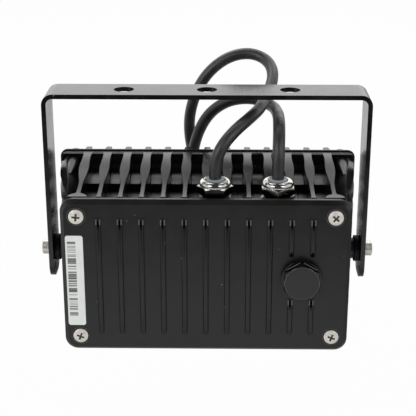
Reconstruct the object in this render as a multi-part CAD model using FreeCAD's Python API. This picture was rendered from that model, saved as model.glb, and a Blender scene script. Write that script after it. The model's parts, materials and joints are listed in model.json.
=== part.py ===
# LED floodlight with a cast, finned body, a driver box behind it, two cable glands and a tilting yoke.
#
# Frame: the origin is the middle of the yoke's mounting face, +Z points out of that face, +X runs along
# the yoke, and +Y is the way the light shines. The lamp is drawn about its pivot axis and then lowered
# by pivot_drop, so every place on the lamp below is counted from the pivot. Sizes are in millimetres.

import FreeCAD, Part
import math
import os

from FreeCAD import Vector

# Yoke: one folded steel strip
yoke_width = 177.0
yoke_thickness = 2.5
yoke_strip = 24.0
yoke_bend_radius = 3.5
pivot_drop = 92.0
yoke_tail = 15.5
yoke_tail_radius = 9.0
yoke_hole_diameter = 11.0
yoke_hole_spacing = 45.0
yoke_hole_count = 3

# Pivot on each side: screw, spacer and cast boss
pivot_screw_diameter = 5.0
pivot_screw_length = 18.0
pivot_head_diameter = 8.5
pivot_head_height = 5.0
socket_head_edge = 0.5
pivot_socket_across = 4.0
pivot_socket_depth = 2.6
pivot_hole_clearance = 0.25
pivot_side_clearance = 0.05
pivot_spacer_diameter = 15.0
pivot_spacer_thickness = 3.85
pivot_spacer_relief = 0.5
pivot_boss_diameter = 12.0

# Cast body: front rim, ledge behind it, driver box behind that
rim_width = 166.5
rim_height = 102.0
rim_corner = 3.5
rim_thickness = 3.0
rim_setback = 17.0
body_depth = 54.7
ledge_width = 148.0
ledge_height = 80.0
ledge_corner = 8.0
ledge_depth = 23.0
ledge_root_radius = 5.0
box_width = 140.0
box_height = 68.0
box_corner = 6.0
box_wall = 3.0
base_plate_thickness = 5.0
led_recess_width = 138.0
led_recess_height = 74.0
led_recess_depth = 9.0
led_recess_corner = 5.0

# Fins: the crest drops from the rim to the box mouth, the thickness swells and narrows on the way
fin_pitch = 11.3
fin_count = 13
side_fin_count = 7
fin_crest_drop = 7.3
fin_waist_distance = 12.0
fin_belly_distance = 22.5
fin_neck_distance = 33.0
fin_root_width = 5.4
fin_waist_width = 4.4
fin_belly_width = 5.2
fin_neck_width = 2.9
fin_tip_width = 1.9
corner_fin_rim_reach = 18.6
corner_fin_mouth_reach = 9.0

# Rear cover and what fastens it
cover_width = 153.5
cover_height = 87.0
cover_corner = 7.0
cover_thickness = 4.6
cover_bevel_width = 2.1
cover_bevel_depth = 2.5
cover_gasket_thickness = 1.0
cover_rib_count = 11
cover_rib_pitch = 11.3
cover_rib_width = 2.8
cover_rib_height = 0.9
cover_rib_draft = 0.5
cover_rib_corner = 1.3
cover_rib_length = 66.0
cover_screw_spacing_x = 136.0
cover_screw_spacing_z = 69.0
cover_screw_diameter = 4.0
cover_screw_length = 12.0
cover_screw_hole_clearance = 0.25
cover_screw_head_diameter = 8.0
cover_screw_head_height = 2.4
cover_screw_seat_diameter = 10.0
cover_screw_seat_depth = 0.7
cover_screw_turns = (20.0, 5.0, 20.0, 40.0)
cross_recess_width = 1.1
cross_recess_span = 4.2
cross_recess_depth = 1.5
cover_boss_diameter = 14.0
cover_boss_length = 10.0
thread_clearance = 0.05
bore_overrun = 0.3

# Breather plug through the cover, between the last two ribs
vent_gap_height = 25.0
vent_seal_diameter = 20.0
vent_seal_thickness = 0.8
vent_flange_diameter = 21.7
vent_flange_thickness = 1.8
vent_hex_across = 18.0
vent_hex_height = 4.4
vent_face_diameter = 17.7
vent_hex_bevel = 1.4
vent_stem_diameter = 12.0
vent_stem_length = 11.0
vent_stem_clearance = 0.2
vent_bore_diameter = 5.0
vent_nut_across = 17.0
vent_nut_thickness = 3.0

# Blank label on the cover
label_width = 9.4
label_height = 52.0
label_thickness = 0.15
label_corner = 1.3
label_centre_x = -69.6
label_centre_z = -2.2

# Front frame, glass, gasket
frame_overhang = 0.8
frame_depth = 10.0
frame_step = 1.0
frame_slope = 5.0
window_width = 138.0
window_height = 74.0
window_corner = 4.0
window_bevel = 3.0
glass_width = 146.0
glass_height = 82.0
glass_thickness = 4.0
glass_corner = 6.0
glass_gasket_thickness = 1.2
glass_edge_clearance = 0.75
frame_lip_gap = 0.3
frame_rib_root_width = 4.4
frame_rib_tip_width = 2.8
frame_rib_length = 4.4
frame_screw_spacing_x = 153.0
frame_screw_spacing_z = 89.0
frame_pad_diameter = 10.0
frame_screw_diameter = 4.0
frame_screw_hole_clearance = 0.25
frame_screw_head_diameter = 7.0
frame_screw_head_height = 4.0
frame_screw_head_clearance = 0.3
frame_screw_head_sink = 0.5
frame_screw_length = 14.0
frame_screw_socket_across = 3.0
frame_screw_socket_depth = 2.2
frame_boss_diameter = 9.0
frame_boss_tip_diameter = 4.0

# Light engine
thermal_pad_thickness = 0.5
led_board_width = 112.0
led_board_height = 58.0
led_board_thickness = 1.6
led_board_corner = 3.0
led_columns = 9
led_rows = 4
led_pitch_x = 8.5
led_pitch_z = 11.0
led_size = 3.0
led_height = 0.7
led_board_screw_spacing_x = 102.0
led_board_screw_spacing_z = 48.0
led_board_screw_diameter = 3.0
led_board_screw_length = 5.5
led_board_screw_head_diameter = 5.5
led_board_screw_head_height = 1.8
led_board_screw_clearance = 0.2
reflector_wall = 0.8
reflector_floor_width = 120.0
reflector_floor_height = 66.0
reflector_corner = 3.0
reflector_edge_gap = 0.3
reflector_hole_gap = 0.6
wire_hole_x = -46.0
wire_hole_diameter = 8.0
grommet_wall = 1.4
grommet_flange_diameter = 11.0
grommet_flange_thickness = 1.2
led_wire_diameter = 1.5
led_wire_spacing = 2.2
led_wire_start_x = -28.0
led_wire_pad_x = -40.0
wire_slot_width = 13.0
wire_slot_height = 9.0

# Driver inside the box
driver_board_width = 96.0
driver_board_height = 50.0
driver_board_thickness = 1.6
driver_board_x = 14.0
driver_board_z = -4.0
driver_pillar_height = 5.0
driver_pillar_diameter = 6.0
driver_screw_diameter = 3.0
driver_screw_length = 7.0
driver_screw_head_diameter = 5.5
driver_screw_head_height = 2.0
driver_screw_clearance = 0.2
driver_screw_inset = 4.0
transformer_width = 26.0
transformer_height = 18.0
transformer_depth = 20.0
transformer_x = 8.0
transformer_z = -14.0
winding_overhang = 2.0
winding_inset = 5.0
capacitor_diameter = 12.0
capacitor_length = 20.0
capacitor_groove_depth = 0.5
capacitor_groove_width = 1.2
capacitor_groove_place = 4.0
capacitor_count = 2
capacitor_pitch = 14.0
capacitor_x = -19.0
capacitor_z = -16.0
choke_outer_diameter = 16.0
choke_inner_diameter = 7.0
choke_width = 8.0
choke_x = 32.0
choke_z = -16.0
transistor_width = 10.0
transistor_thickness = 4.5
transistor_height = 15.0
transistor_count = 2
transistor_x = -14.0
transistor_pitch = 13.0
transistor_z = 12.0
fuse_diameter = 5.0
fuse_length = 18.0
fuse_x = 50.0
fuse_z = -14.0
fuse_clip_width = 4.0
fuse_clip_length = 3.0
fuse_lift = 1.5
terminal_ways = 6
terminal_pitch = 5.0
terminal_height = 11.0
terminal_depth = 12.0
terminal_x = 22.0
terminal_z = 8.0
terminal_way_diameter = 3.0
terminal_way_depth = 6.0
terminal_screw_diameter = 3.4
terminal_screw_depth = 2.0
earth_screw_x = -57.0
earth_screw_z = 14.0
earth_screw_diameter = 4.0
earth_screw_length = 5.0
earth_screw_head_diameter = 7.5
earth_screw_head_height = 2.4
earth_ring_diameter = 8.4
earth_ring_thickness = 1.0
earth_barrel_diameter = 3.2
earth_barrel_length = 6.0
earth_barrel_gap = 0.8
earth_boss_diameter = 9.0
earth_boss_height = 4.0

# Cable glands: the body clamps through the box roof, the nut squeezes the seal round the lead
gland_middle_x = 21.35
gland_spacing = 33.3
gland_setback = 9.7
gland_across = 17.0
gland_body_height = 6.0
gland_thread_diameter = 15.2
gland_thread_length = 9.0
gland_hole_clearance = 0.15
gland_neck_diameter = 14.5
gland_neck_gap = 1.8
gland_nut_height = 4.6
gland_nut_crown = 2.9
gland_nut_bevel = 0.9
gland_nut_face_inset = 0.2
gland_nut_dome = 0.9
gland_nut_mouth_diameter = 10.6
gland_washer_diameter = 18.0
gland_washer_thickness = 1.0
gland_locknut_across = 19.0
gland_locknut_thickness = 3.0
gland_seal_diameter = 10.3
gland_seal_stand = 0.7
gland_seal_length = 8.0
gland_fit_clearance = 0.05
gland_pocket_clearance = 1.1
supply_gland_body_turn = 30.0
supply_gland_nut_turn = 0.0
control_gland_body_turn = 16.0
control_gland_nut_turn = 30.0

# Leads
lead_diameter = 6.6
lead_inside_end_z = 23.0
core_diameter = 2.2
core_circle_diameter = 2.9
core_long_drop = 6.5
core_short_drop = 4.0
core_sag = 1.0
core_turn_back = 2.0
core_turn_height = 5.5
bare_core_length = 22.0
bare_core_straight = 6.0
bare_core_splay = 0.8
tip_diameter = 1.2
tip_length = 6.0
bend_share = 0.45

# Worked out from the sizes above
rim_front_y = rim_setback + rim_thickness
mouth_y = rim_setback - body_depth
ledge_rear_y = rim_setback - ledge_depth
cover_seat_y = mouth_y - cover_gasket_thickness
cover_face_y = cover_seat_y - cover_thickness
recess_floor_y = rim_front_y - led_recess_depth
plate_rear_y = recess_floor_y - base_plate_thickness
box_inner_width = box_width - 2 * box_wall
box_inner_height = box_height - 2 * box_wall
box_roof_z = box_height / 2
box_ceiling_z = box_inner_height / 2
led_board_rear_y = recess_floor_y + thermal_pad_thickness
led_board_front_y = led_board_rear_y + led_board_thickness
glass_rear_y = rim_front_y + glass_gasket_thickness
glass_front_y = glass_rear_y + glass_thickness
frame_front_y = rim_front_y + frame_depth
frame_seat_y = frame_front_y - frame_screw_head_height - frame_screw_head_sink
driver_board_front_y = plate_rear_y - driver_pillar_height
driver_board_rear_y = driver_board_front_y - driver_board_thickness
leg_inner_x = yoke_width / 2 - yoke_thickness
spacer_outer_x = leg_inner_x - pivot_side_clearance
boss_face_x = spacer_outer_x - pivot_spacer_thickness
pivot_head_x = yoke_width / 2 + pivot_side_clearance
vent_x = cover_rib_pitch * (cover_rib_count - 2) / 2
vent_flange_y = cover_face_y - vent_seal_thickness
vent_hex_y = vent_flange_y - vent_flange_thickness
gland_y = mouth_y + gland_setback
gland_body_z = box_roof_z + gland_washer_thickness
gland_neck_z = gland_body_z + gland_body_height
gland_nut_z = gland_neck_z + gland_neck_gap
gland_crown_z = gland_nut_z + gland_nut_height
gland_mouth_z = gland_crown_z + gland_nut_crown
gland_exit_z = gland_mouth_z + gland_seal_stand
gland_corner_radius = gland_across / math.sqrt(3)
gland_neck_top_z = gland_crown_z
gland_seal_z = gland_exit_z - gland_seal_length
supply_x = gland_middle_x - gland_spacing / 2
control_x = gland_middle_x + gland_spacing / 2
terminal_width = terminal_ways * terminal_pitch
earth_boss_y = plate_rear_y - earth_boss_height
earth_ring_y = earth_boss_y - earth_ring_thickness
earth_barrel_x = earth_screw_x + earth_ring_diameter / 2 + earth_barrel_gap
earth_barrel_end_x = earth_barrel_x + earth_barrel_length

# Routes of the two leads, chosen by hand from the gland's mouth to the cut sheath, about the pivot.
# Each goes up, passes behind the yoke, turns over and hangs in front of the glass.
supply_route = (
    Vector(supply_x, gland_y, gland_exit_z),
    Vector(supply_x, gland_y, 59.5),
    Vector(8, -26.5, 68),
    Vector(14.3, -21, 75.3),
    Vector(23, -9.5, 79.5),
    Vector(29, 5, 79.8),
    Vector(33.2, 18, 82),
    Vector(36.5, 27.5, 87.2),
    Vector(37.9, 35.5, 92.3),
    Vector(36.5, 43, 96.8),
    Vector(32, 48.3, 100.3),
    Vector(25, 51, 102),
    Vector(16.5, 51.5, 100.8),
    Vector(8, 51.5, 96.3),
    Vector(-0.5, 51.5, 88),
    Vector(-7, 51.5, 76.5),
    Vector(-11, 51.5, 63),
    Vector(-11, 51.5, 48),
    Vector(-7, 51.3, 32),
    Vector(-2, 50.5, 12),
    Vector(0, 49.5, -10),
    Vector(-1, 49, -32),
    Vector(-2, 49.5, -50),
)
control_route = (
    Vector(control_x, gland_y, gland_exit_z),
    Vector(control_x, gland_y, 60),
    Vector(38.3, -24.5, 68.6),
    Vector(38.7, -17, 75),
    Vector(39, -5, 77),
    Vector(39.2, 10.5, 75.8),
    Vector(37.2, 24.5, 76.5),
    Vector(27, 33.3, 79),
    Vector(14, 38, 76.5),
    Vector(3.5, 41, 69),
    Vector(-3.8, 42.3, 57),
    Vector(-8.5, 42.8, 40),
    Vector(-13, 43.2, 20),
    Vector(-18, 43.5, -2),
    Vector(-20, 44, -26),
    Vector(-19, 44.5, -48),
)


def box(x0, x1, y0, y1, z0, z1):
    """A rectangular block between two corners."""
    return Part.makeBox(x1 - x0, y1 - y0, z1 - z0, Vector(x0, y0, z0))


def bar(diameter, start, end):
    """A round bar between two points."""
    along = end - start
    return Part.makeCylinder(diameter / 2, along.Length, start, along)


def cylinder_x(diameter, x0, x1, y, z):
    """A round bar along X."""
    return bar(diameter, Vector(x0, y, z), Vector(x1, y, z))


def cylinder_y(diameter, y0, y1, x, z):
    """A round bar along Y."""
    return bar(diameter, Vector(x, y0, z), Vector(x, y1, z))


def cylinder_z(diameter, z0, z1, x, y):
    """A round bar along Z."""
    return bar(diameter, Vector(x, y, z0), Vector(x, y, z1))


def rounded_wire(width, height, radius, y, x=0.0, z=0.0):
    """A rounded rectangle in the plane of a given y."""
    right = x + width / 2
    left = x - width / 2
    top = z + height / 2
    bottom = z - height / 2
    bends = []
    places = ((right, top, 90), (right, bottom, 0), (left, bottom, -90), (left, top, -180))
    for corner_x, corner_z, start_angle in places:
        middle_x = corner_x - math.copysign(radius, corner_x - x)
        middle_z = corner_z - math.copysign(radius, corner_z - z)
        bends.append([on_circle(middle_x, middle_z, radius, y, start_angle - step) for step in (0, 45, 90)])
    edges = []
    for number, (start, middle, end) in enumerate(bends):
        edges.append(Part.Arc(start, middle, end).toShape())
        following = bends[(number + 1) % len(bends)][0]
        edges.append(Part.LineSegment(end, following).toShape())
    return Part.Wire(edges)


def on_circle(middle_x, middle_z, radius, y, angle):
    """A point on a circle in the plane of a given y, its angle counted from +X towards +Z."""
    turn = math.radians(angle)
    return Vector(middle_x + radius * math.cos(turn), y, middle_z + radius * math.sin(turn))


def rounded_plate(width, height, radius, y0, y1, x=0.0, z=0.0):
    """A rounded rectangular plate from y0 to y1."""
    face = Part.Face(rounded_wire(width, height, radius, y0, x, z))
    return face.extrude(Vector(0, y1 - y0, 0))


def tapered_plate(first, second):
    """A solid between two rounded rectangles, each given as the values of rounded_wire."""
    return Part.makeLoft([rounded_wire(*first), rounded_wire(*second)], True, True)


def hexagon(across, length, base, direction, turn=0.0):
    """A hexagonal bar of a given width across flats."""
    corner = across / math.sqrt(3)
    angles = [math.radians(60 * k + turn) for k in range(7)]
    points = [Vector(corner * math.cos(a), corner * math.sin(a), 0) for a in angles]
    prism = Part.Face(Part.makePolygon(points)).extrude(Vector(0, 0, length))
    prism.Placement = FreeCAD.Placement(base, FreeCAD.Rotation(Vector(0, 0, 1), direction))
    return prism


def corners(spacing_x, spacing_z):
    """The four corners of a rectangle about the pivot."""
    return [(sx * spacing_x / 2, sz * spacing_z / 2) for sx in (-1, 1) for sz in (-1, 1)]


def spread(count, pitch):
    """Evenly spaced places about zero."""
    return [(k - (count - 1) / 2) * pitch for k in range(count)]


def joined(shapes):
    """One clean solid made from several that overlap or meet."""
    return shapes[0].multiFuse(shapes[1:]).removeSplitter()


def near(first, second):
    """Whether two lengths are the same."""
    return abs(first - second) < 1e-6


def turned(shape, angle, x=0.0, z=0.0):
    """A copy turned about the Y axis and then moved."""
    copy = shape.copy()
    copy.rotate(Vector(0, 0, 0), Vector(0, 1, 0), angle)
    copy.translate(Vector(x, 0, z))
    return copy


def both_sides(shape):
    """A shape and its mirror image across the middle plane."""
    return [shape, shape.mirror(Vector(0, 0, 0), Vector(1, 0, 0))]


def run_path(points):
    """A path of straight runs joined by tangent arcs, each as large as its two runs allow."""
    edges = []
    radii = []
    last = points[0]
    for before, point, after in zip(points, points[1:], points[2:]):
        back = (before - point).normalize()
        ahead = (after - point).normalize()
        cut = bend_share * min((before - point).Length, (after - point).Length)
        half_turn = (math.pi - back.getAngle(ahead)) / 2
        radius = cut / math.tan(half_turn)
        radii.append(radius)
        start = point + back * cut
        end = point + ahead * cut
        inward = (back + ahead).normalize()
        middle = point + inward * (radius / math.cos(half_turn) - radius)
        edges.append(Part.LineSegment(last, start).toShape())
        edges.append(Part.Arc(start, middle, end).toShape())
        last = end
    edges.append(Part.LineSegment(last, points[-1]).toShape())
    return Part.Wire(edges), radii


def tube(points, diameter):
    """A round tube along a route."""
    path, radii = run_path([Vector(p) for p in points])
    start = points[0]
    section = Part.Wire(Part.makeCircle(diameter / 2, start, points[1] - start))
    return path.makePipeShell([section], True, False), path.Length, radii


def wire_run(points, diameter):
    """Only the solid of a tube."""
    return tube(points, diameter)[0]


def cross_screw(diameter, length, head_diameter, head_height, seat, x, z, turn=0.0):
    """A pan-head screw along Y with a cross recess, its head on the side of smaller y."""
    dome_radius = head_diameter * 0.9
    head = cylinder_y(head_diameter, seat - head_height, seat, x, z)
    dome = Part.makeSphere(dome_radius, Vector(x, seat - head_height + dome_radius, z))
    head = head.common(dome)
    shank = cylinder_y(diameter, seat, seat + length, x, z)
    screw = head.fuse(shank)
    half = cross_recess_span / 2
    thin = cross_recess_width / 2
    top = seat - head_height
    for angle in (turn, turn + 90):
        slot = box(-half, half, top - 1, top + cross_recess_depth, -thin, thin)
        screw = screw.cut(turned(slot, angle, x, z))
    return screw


def socket_screw(diameter, length, head_diameter, head_height, socket, depth, seat, direction, edge):
    """A cap screw with a hexagonal socket, its shank along a direction from the seat."""
    head = Part.makeCylinder(head_diameter / 2, head_height, seat, direction * -1)
    rims = [e for e in head.Edges if e.Curve.TypeId == "Part::GeomCircle"]
    far = max(rims, key=lambda e: (e.Curve.Center - seat).Length)
    head = head.makeFillet(edge, [far])
    shank = Part.makeCylinder(diameter / 2, length, seat, direction)
    top = seat - direction * (head_height - depth)
    return head.fuse(shank).cut(hexagon(socket, depth + 1, top, direction * -1))


# Yoke


def edges_along_y(shape, x, z):
    """The two edges of a block at plus and minus x and at z."""
    return [e for e in shape.Edges if near(abs(e.CenterOfMass.x), x) and near(e.CenterOfMass.z, z)]


def bracket():
    """The folded strip: a cross-piece with mounting holes and two legs with pivot holes."""
    outer = yoke_width / 2
    half = yoke_strip / 2
    under = pivot_drop - yoke_thickness
    fold = box(-outer, outer, -half, half, -yoke_tail, pivot_drop)
    fold = fold.makeFillet(yoke_bend_radius + yoke_thickness, edges_along_y(fold, outer, pivot_drop))
    room = box(-leg_inner_x, leg_inner_x, -half, half, -yoke_tail, under)
    room = room.makeFillet(yoke_bend_radius, edges_along_y(room, leg_inner_x, under))
    outline = box(-outer, outer, -half, half, -yoke_tail, pivot_drop)
    low_edges = [e for e in outline.Edges if near(e.CenterOfMass.z, -yoke_tail)]
    feet = [e for e in low_edges if near(abs(e.CenterOfMass.y), half)]
    strip = fold.cut(room).common(outline.makeFillet(yoke_tail_radius, feet))
    holes = [
        cylinder_z(yoke_hole_diameter, under - 1, pivot_drop + 1, x, 0)
        for x in spread(yoke_hole_count, yoke_hole_spacing)
    ]
    pivot_hole = pivot_screw_diameter + 2 * pivot_hole_clearance
    return strip.cut(holes + [cylinder_x(pivot_hole, -outer - 1, outer + 1, 0, 0)])


def pivot_screws():
    """The two socket cap screws that the lamp turns on."""
    screw = socket_screw(
        pivot_screw_diameter,
        pivot_screw_length,
        pivot_head_diameter,
        pivot_head_height,
        pivot_socket_across,
        pivot_socket_depth,
        Vector(pivot_head_x, 0, 0),
        Vector(-1, 0, 0),
        socket_head_edge,
    )
    return Part.makeCompound(both_sides(screw))


def pivot_spacers():
    """The two round spacers between the yoke and the cast bosses."""
    hole = pivot_screw_diameter + 2 * pivot_hole_clearance
    ring = cylinder_x(pivot_spacer_diameter, boss_face_x, spacer_outer_x, 0, 0)
    ring = ring.cut(cylinder_x(hole, boss_face_x - 1, spacer_outer_x + 1, 0, 0))
    return Part.makeCompound(both_sides(ring))


# Cast body


def fin(crest_at_rim, crest_at_mouth):
    """One cooling fin that stands up from the pivot plane, with a waist, a belly and a falling crest."""
    stations = (
        (0.0, fin_root_width),
        (fin_waist_distance, fin_waist_width),
        (fin_belly_distance, fin_belly_width),
        (fin_neck_distance, fin_neck_width),
        (body_depth, fin_tip_width),
    )
    right = [Vector(width / 2, rim_setback - distance, 0) for distance, width in stations]
    left = [Vector(-p.x, p.y, 0) for p in right]
    sides = []
    for points in (right, left):
        curve = Part.BSplineCurve()
        curve.interpolate(points)
        sides.append(curve.toShape())
    edges = [sides[0], Part.makeLine(right[-1], left[-1]), sides[1], Part.makeLine(left[0], right[0])]
    outline = Part.Wire(Part.__sortEdges__(edges))
    prism = Part.Face(outline).extrude(Vector(0, 0, crest_at_rim))
    return prism.common(crest_block(crest_at_rim, crest_at_mouth))


def crest_block(crest_at_rim, crest_at_mouth):
    """The room under a fin's crest: two arcs, level at both ends, joined in one S."""
    reach = fin_root_width
    drop = crest_at_rim - crest_at_mouth
    half_run = body_depth / 2
    radius = (half_run**2 + (drop / 2) ** 2) / drop
    turn = math.asin(half_run / radius) / 2
    side = radius * math.sin(turn)
    rise = radius * (1 - math.cos(turn))
    start = Vector(-reach, rim_setback, crest_at_rim)
    middle = Vector(-reach, rim_setback - half_run, crest_at_rim - drop / 2)
    end = Vector(-reach, mouth_y, crest_at_mouth)
    first = Part.Arc(start, Vector(-reach, start.y - side, start.z - rise), middle)
    second = Part.Arc(middle, Vector(-reach, end.y + side, end.z + rise), end)
    low_end = Vector(-reach, mouth_y, 0)
    low_start = Vector(-reach, rim_setback, 0)
    edges = [
        first.toShape(),
        second.toShape(),
        Part.makeLine(end, low_end),
        Part.makeLine(low_end, low_start),
        Part.makeLine(low_start, start),
    ]
    return Part.Face(Part.Wire(edges)).extrude(Vector(2 * reach, 0, 0))


def all_fins():
    """Upright fins above and below, level fins on both sides and one slanted fin at each corner."""
    upright = fin(rim_height / 2, rim_height / 2 - fin_crest_drop)
    level = fin(rim_width / 2, rim_width / 2 - fin_crest_drop)
    slanted = fin(corner_fin_rim_reach, corner_fin_mouth_reach)
    fins = []
    for x in spread(fin_count, fin_pitch):
        fins += [turned(upright, 0, x), turned(upright, 180, x)]
    for z in spread(side_fin_count, fin_pitch):
        fins += [turned(level, 90, 0, z), turned(level, -90, 0, z)]
    for x, z in corners(cover_screw_spacing_x, cover_screw_spacing_z):
        fins.append(turned(slanted, math.degrees(math.atan2(math.copysign(1, x), math.copysign(1, z))), x, z))
    return fins


def cover_posts(diameter, y0, y1):
    """Round bars on the cover screws' places."""
    return [
        cylinder_y(diameter, y0, y1, x, z) for x, z in corners(cover_screw_spacing_x, cover_screw_spacing_z)
    ]


def box_cavity(y0, y1):
    """The room inside the driver box, which leaves the corner posts standing."""
    room = rounded_plate(box_inner_width, box_inner_height, box_corner - box_wall, y0, y1)
    return room.cut(cover_posts(cover_boss_diameter, y0, y1))


def casting_core():
    """Rim, ledge and driver box, with the round corner between rim and ledge."""
    rim = rounded_plate(rim_width, rim_height, rim_corner, rim_setback, rim_front_y)
    ledge = rounded_plate(ledge_width, ledge_height, ledge_corner, ledge_rear_y, rim_front_y)
    core = rim.fuse(ledge)
    root = [
        e
        for e in core.Edges
        if near(e.BoundBox.YMin, rim_setback)
        and near(e.BoundBox.YMax, rim_setback)
        and e.BoundBox.XMax <= ledge_width / 2 + 1e-3
        and e.BoundBox.XMin >= -ledge_width / 2 - 1e-3
        and e.BoundBox.ZMax <= ledge_height / 2 + 1e-3
        and e.BoundBox.ZMin >= -ledge_height / 2 - 1e-3
    ]
    core = core.makeFillet(ledge_root_radius, root)
    return core.fuse(rounded_plate(box_width, box_height, box_corner, mouth_y, ledge_rear_y))


def heatsink_housing():
    """The whole die-cast body."""
    parts = [casting_core()]
    parts += all_fins()
    parts += cover_posts(cover_boss_diameter, mouth_y, mouth_y + cover_boss_length)
    for x, z in corners(frame_screw_spacing_x, frame_screw_spacing_z):
        boss = Part.makeCone(
            frame_boss_tip_diameter / 2,
            frame_boss_diameter / 2,
            rim_setback - ledge_rear_y,
            Vector(x, ledge_rear_y, z),
            Vector(0, 1, 0),
        )
        parts.append(boss)
    inner_x = box_inner_width / 2
    parts += both_sides(cylinder_x(pivot_boss_diameter, inner_x, boss_face_x, 0, 0))
    body = joined(parts)
    cuts = [box_cavity(mouth_y - 1, plate_rear_y)]
    cuts.append(
        rounded_plate(led_recess_width, led_recess_height, led_recess_corner, recess_floor_y, rim_front_y + 1)
    )
    cuts.append(cylinder_y(wire_hole_diameter, plate_rear_y - 1, recess_floor_y + 1, wire_hole_x, 0))
    spacer_room = pivot_spacer_diameter + 2 * pivot_spacer_relief
    cuts += both_sides(cylinder_x(spacer_room, boss_face_x, leg_inner_x, 0, 0))
    cuts += gland_cuts()
    posts = [
        cylinder_y(driver_pillar_diameter, driver_board_front_y, plate_rear_y, x, z)
        for x, z in driver_places()
    ]
    posts.append(
        cylinder_y(earth_boss_diameter, earth_boss_y, plate_rear_y, earth_screw_x, earth_screw_z)
    )
    return joined([body.cut(cuts)] + posts).cut(screw_bores())


def gland_cuts():
    """The holes for the two glands and the round pockets that the fins leave for a spanner."""
    pocket = 2 * (gland_corner_radius + gland_pocket_clearance)
    hole = gland_thread_diameter + 2 * gland_hole_clearance
    cuts = []
    for x in (supply_x, control_x):
        cuts.append(cylinder_z(pocket, box_roof_z, rim_height / 2 + 1, x, gland_y))
        cuts.append(cylinder_z(hole, box_ceiling_z - 1, box_roof_z + 1, x, gland_y))
    return cuts


def screw_bores():
    """Blind threaded holes of the casting."""
    bores = []
    end_y = cover_face_y + cover_screw_seat_depth + cover_screw_length
    bores += cover_posts(cover_screw_diameter + 2 * thread_clearance, mouth_y - 1, end_y + bore_overrun)
    bore = frame_screw_diameter + 2 * thread_clearance
    end_y = frame_seat_y - frame_screw_length - bore_overrun
    for x, z in corners(frame_screw_spacing_x, frame_screw_spacing_z):
        bores.append(cylinder_y(bore, end_y, rim_front_y + 1, x, z))
    bore = pivot_screw_diameter + 2 * thread_clearance
    end_x = pivot_head_x - pivot_screw_length - bore_overrun
    bores += both_sides(cylinder_x(bore, end_x, boss_face_x + 1, 0, 0))
    bore = led_board_screw_diameter + 2 * thread_clearance
    end_y = led_board_front_y - led_board_screw_length - bore_overrun
    for x, z in corners(led_board_screw_spacing_x, led_board_screw_spacing_z):
        bores.append(cylinder_y(bore, end_y, recess_floor_y + 1, x, z))
    bore = driver_screw_diameter + 2 * thread_clearance
    end_y = driver_board_rear_y + driver_screw_length + bore_overrun
    for x, z in driver_places():
        bores.append(cylinder_y(bore, driver_board_front_y - 1, end_y, x, z))
    bore = earth_screw_diameter + 2 * thread_clearance
    end_y = earth_ring_y + earth_screw_length + bore_overrun
    bores.append(cylinder_y(bore, earth_boss_y - 1, end_y, earth_screw_x, earth_screw_z))
    return bores


def driver_places():
    """Where the driver board is screwed down."""
    across = driver_board_width - 2 * driver_screw_inset
    up = driver_board_height - 2 * driver_screw_inset
    return [(x + driver_board_x, z + driver_board_z) for x, z in corners(across, up)]


# Rear cover


def cover_rib(x, low, high):
    """One raised rib with rounded ends and sloping flanks."""
    middle = (low + high) / 2
    length = high - low
    draft = 2 * cover_rib_draft
    top_y = cover_face_y - cover_rib_height
    base = (cover_rib_width, length, cover_rib_corner, cover_face_y, x, middle)
    crest = (cover_rib_width - draft, length - draft, cover_rib_corner - cover_rib_draft, top_y, x, middle)
    return tapered_plate(base, crest)


def driver_cover():
    """The cast rear cover with its bevelled edge, ribs, screw seats and the breather's hole."""
    bevel_y = cover_face_y + cover_bevel_depth
    narrow = 2 * cover_bevel_width
    slab = rounded_plate(cover_width, cover_height, cover_corner, bevel_y, cover_seat_y)
    bevel = tapered_plate(
        (cover_width, cover_height, cover_corner, bevel_y),
        (cover_width - narrow, cover_height - narrow, cover_corner - cover_bevel_width, cover_face_y),
    )
    parts = [slab, bevel]
    half = cover_rib_length / 2
    for x in spread(cover_rib_count, cover_rib_pitch):
        if abs(x - vent_x) < cover_rib_pitch:
            parts.append(cover_rib(x, vent_gap_height / 2, half))
            parts.append(cover_rib(x, -half, -vent_gap_height / 2))
        else:
            parts.append(cover_rib(x, -half, half))
    hole = cover_screw_diameter + 2 * cover_screw_hole_clearance
    seat_y = cover_face_y + cover_screw_seat_depth
    cuts = cover_posts(hole, cover_face_y - 1, cover_seat_y + 1)
    cuts += cover_posts(cover_screw_seat_diameter, cover_face_y - 1, seat_y)
    stem = vent_stem_diameter + 2 * vent_stem_clearance
    cuts.append(cylinder_y(stem, cover_face_y - 1, cover_seat_y + 1, vent_x, 0))
    return joined(parts).cut(cuts)


def cover_gasket():
    """The flat gasket that follows the box wall and its corner posts."""
    ring = rounded_plate(box_width, box_height, box_corner, cover_seat_y, mouth_y)
    ring = joined([ring] + cover_posts(cover_boss_diameter, cover_seat_y, mouth_y))
    hole = cover_screw_diameter + 2 * cover_screw_hole_clearance
    cuts = [box_cavity(cover_seat_y - 1, mouth_y + 1)]
    cuts += cover_posts(hole, cover_seat_y - 1, mouth_y + 1)
    return ring.cut(cuts)


def cover_screws():
    """Four cross-head screws, each stopped at its own angle."""
    seat_y = cover_face_y + cover_screw_seat_depth
    screws = []
    for (x, z), turn in zip(corners(cover_screw_spacing_x, cover_screw_spacing_z), cover_screw_turns):
        screws.append(
            cross_screw(
                cover_screw_diameter,
                cover_screw_length,
                cover_screw_head_diameter,
                cover_screw_head_height,
                seat_y,
                x,
                z,
                turn,
            )
        )
    return Part.makeCompound(screws)


def cover_label():
    """The blank sticker."""
    return rounded_plate(
        label_width,
        label_height,
        label_corner,
        cover_face_y - label_thickness,
        cover_face_y,
        label_centre_x,
        label_centre_z,
    )


# Breather plug


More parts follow.
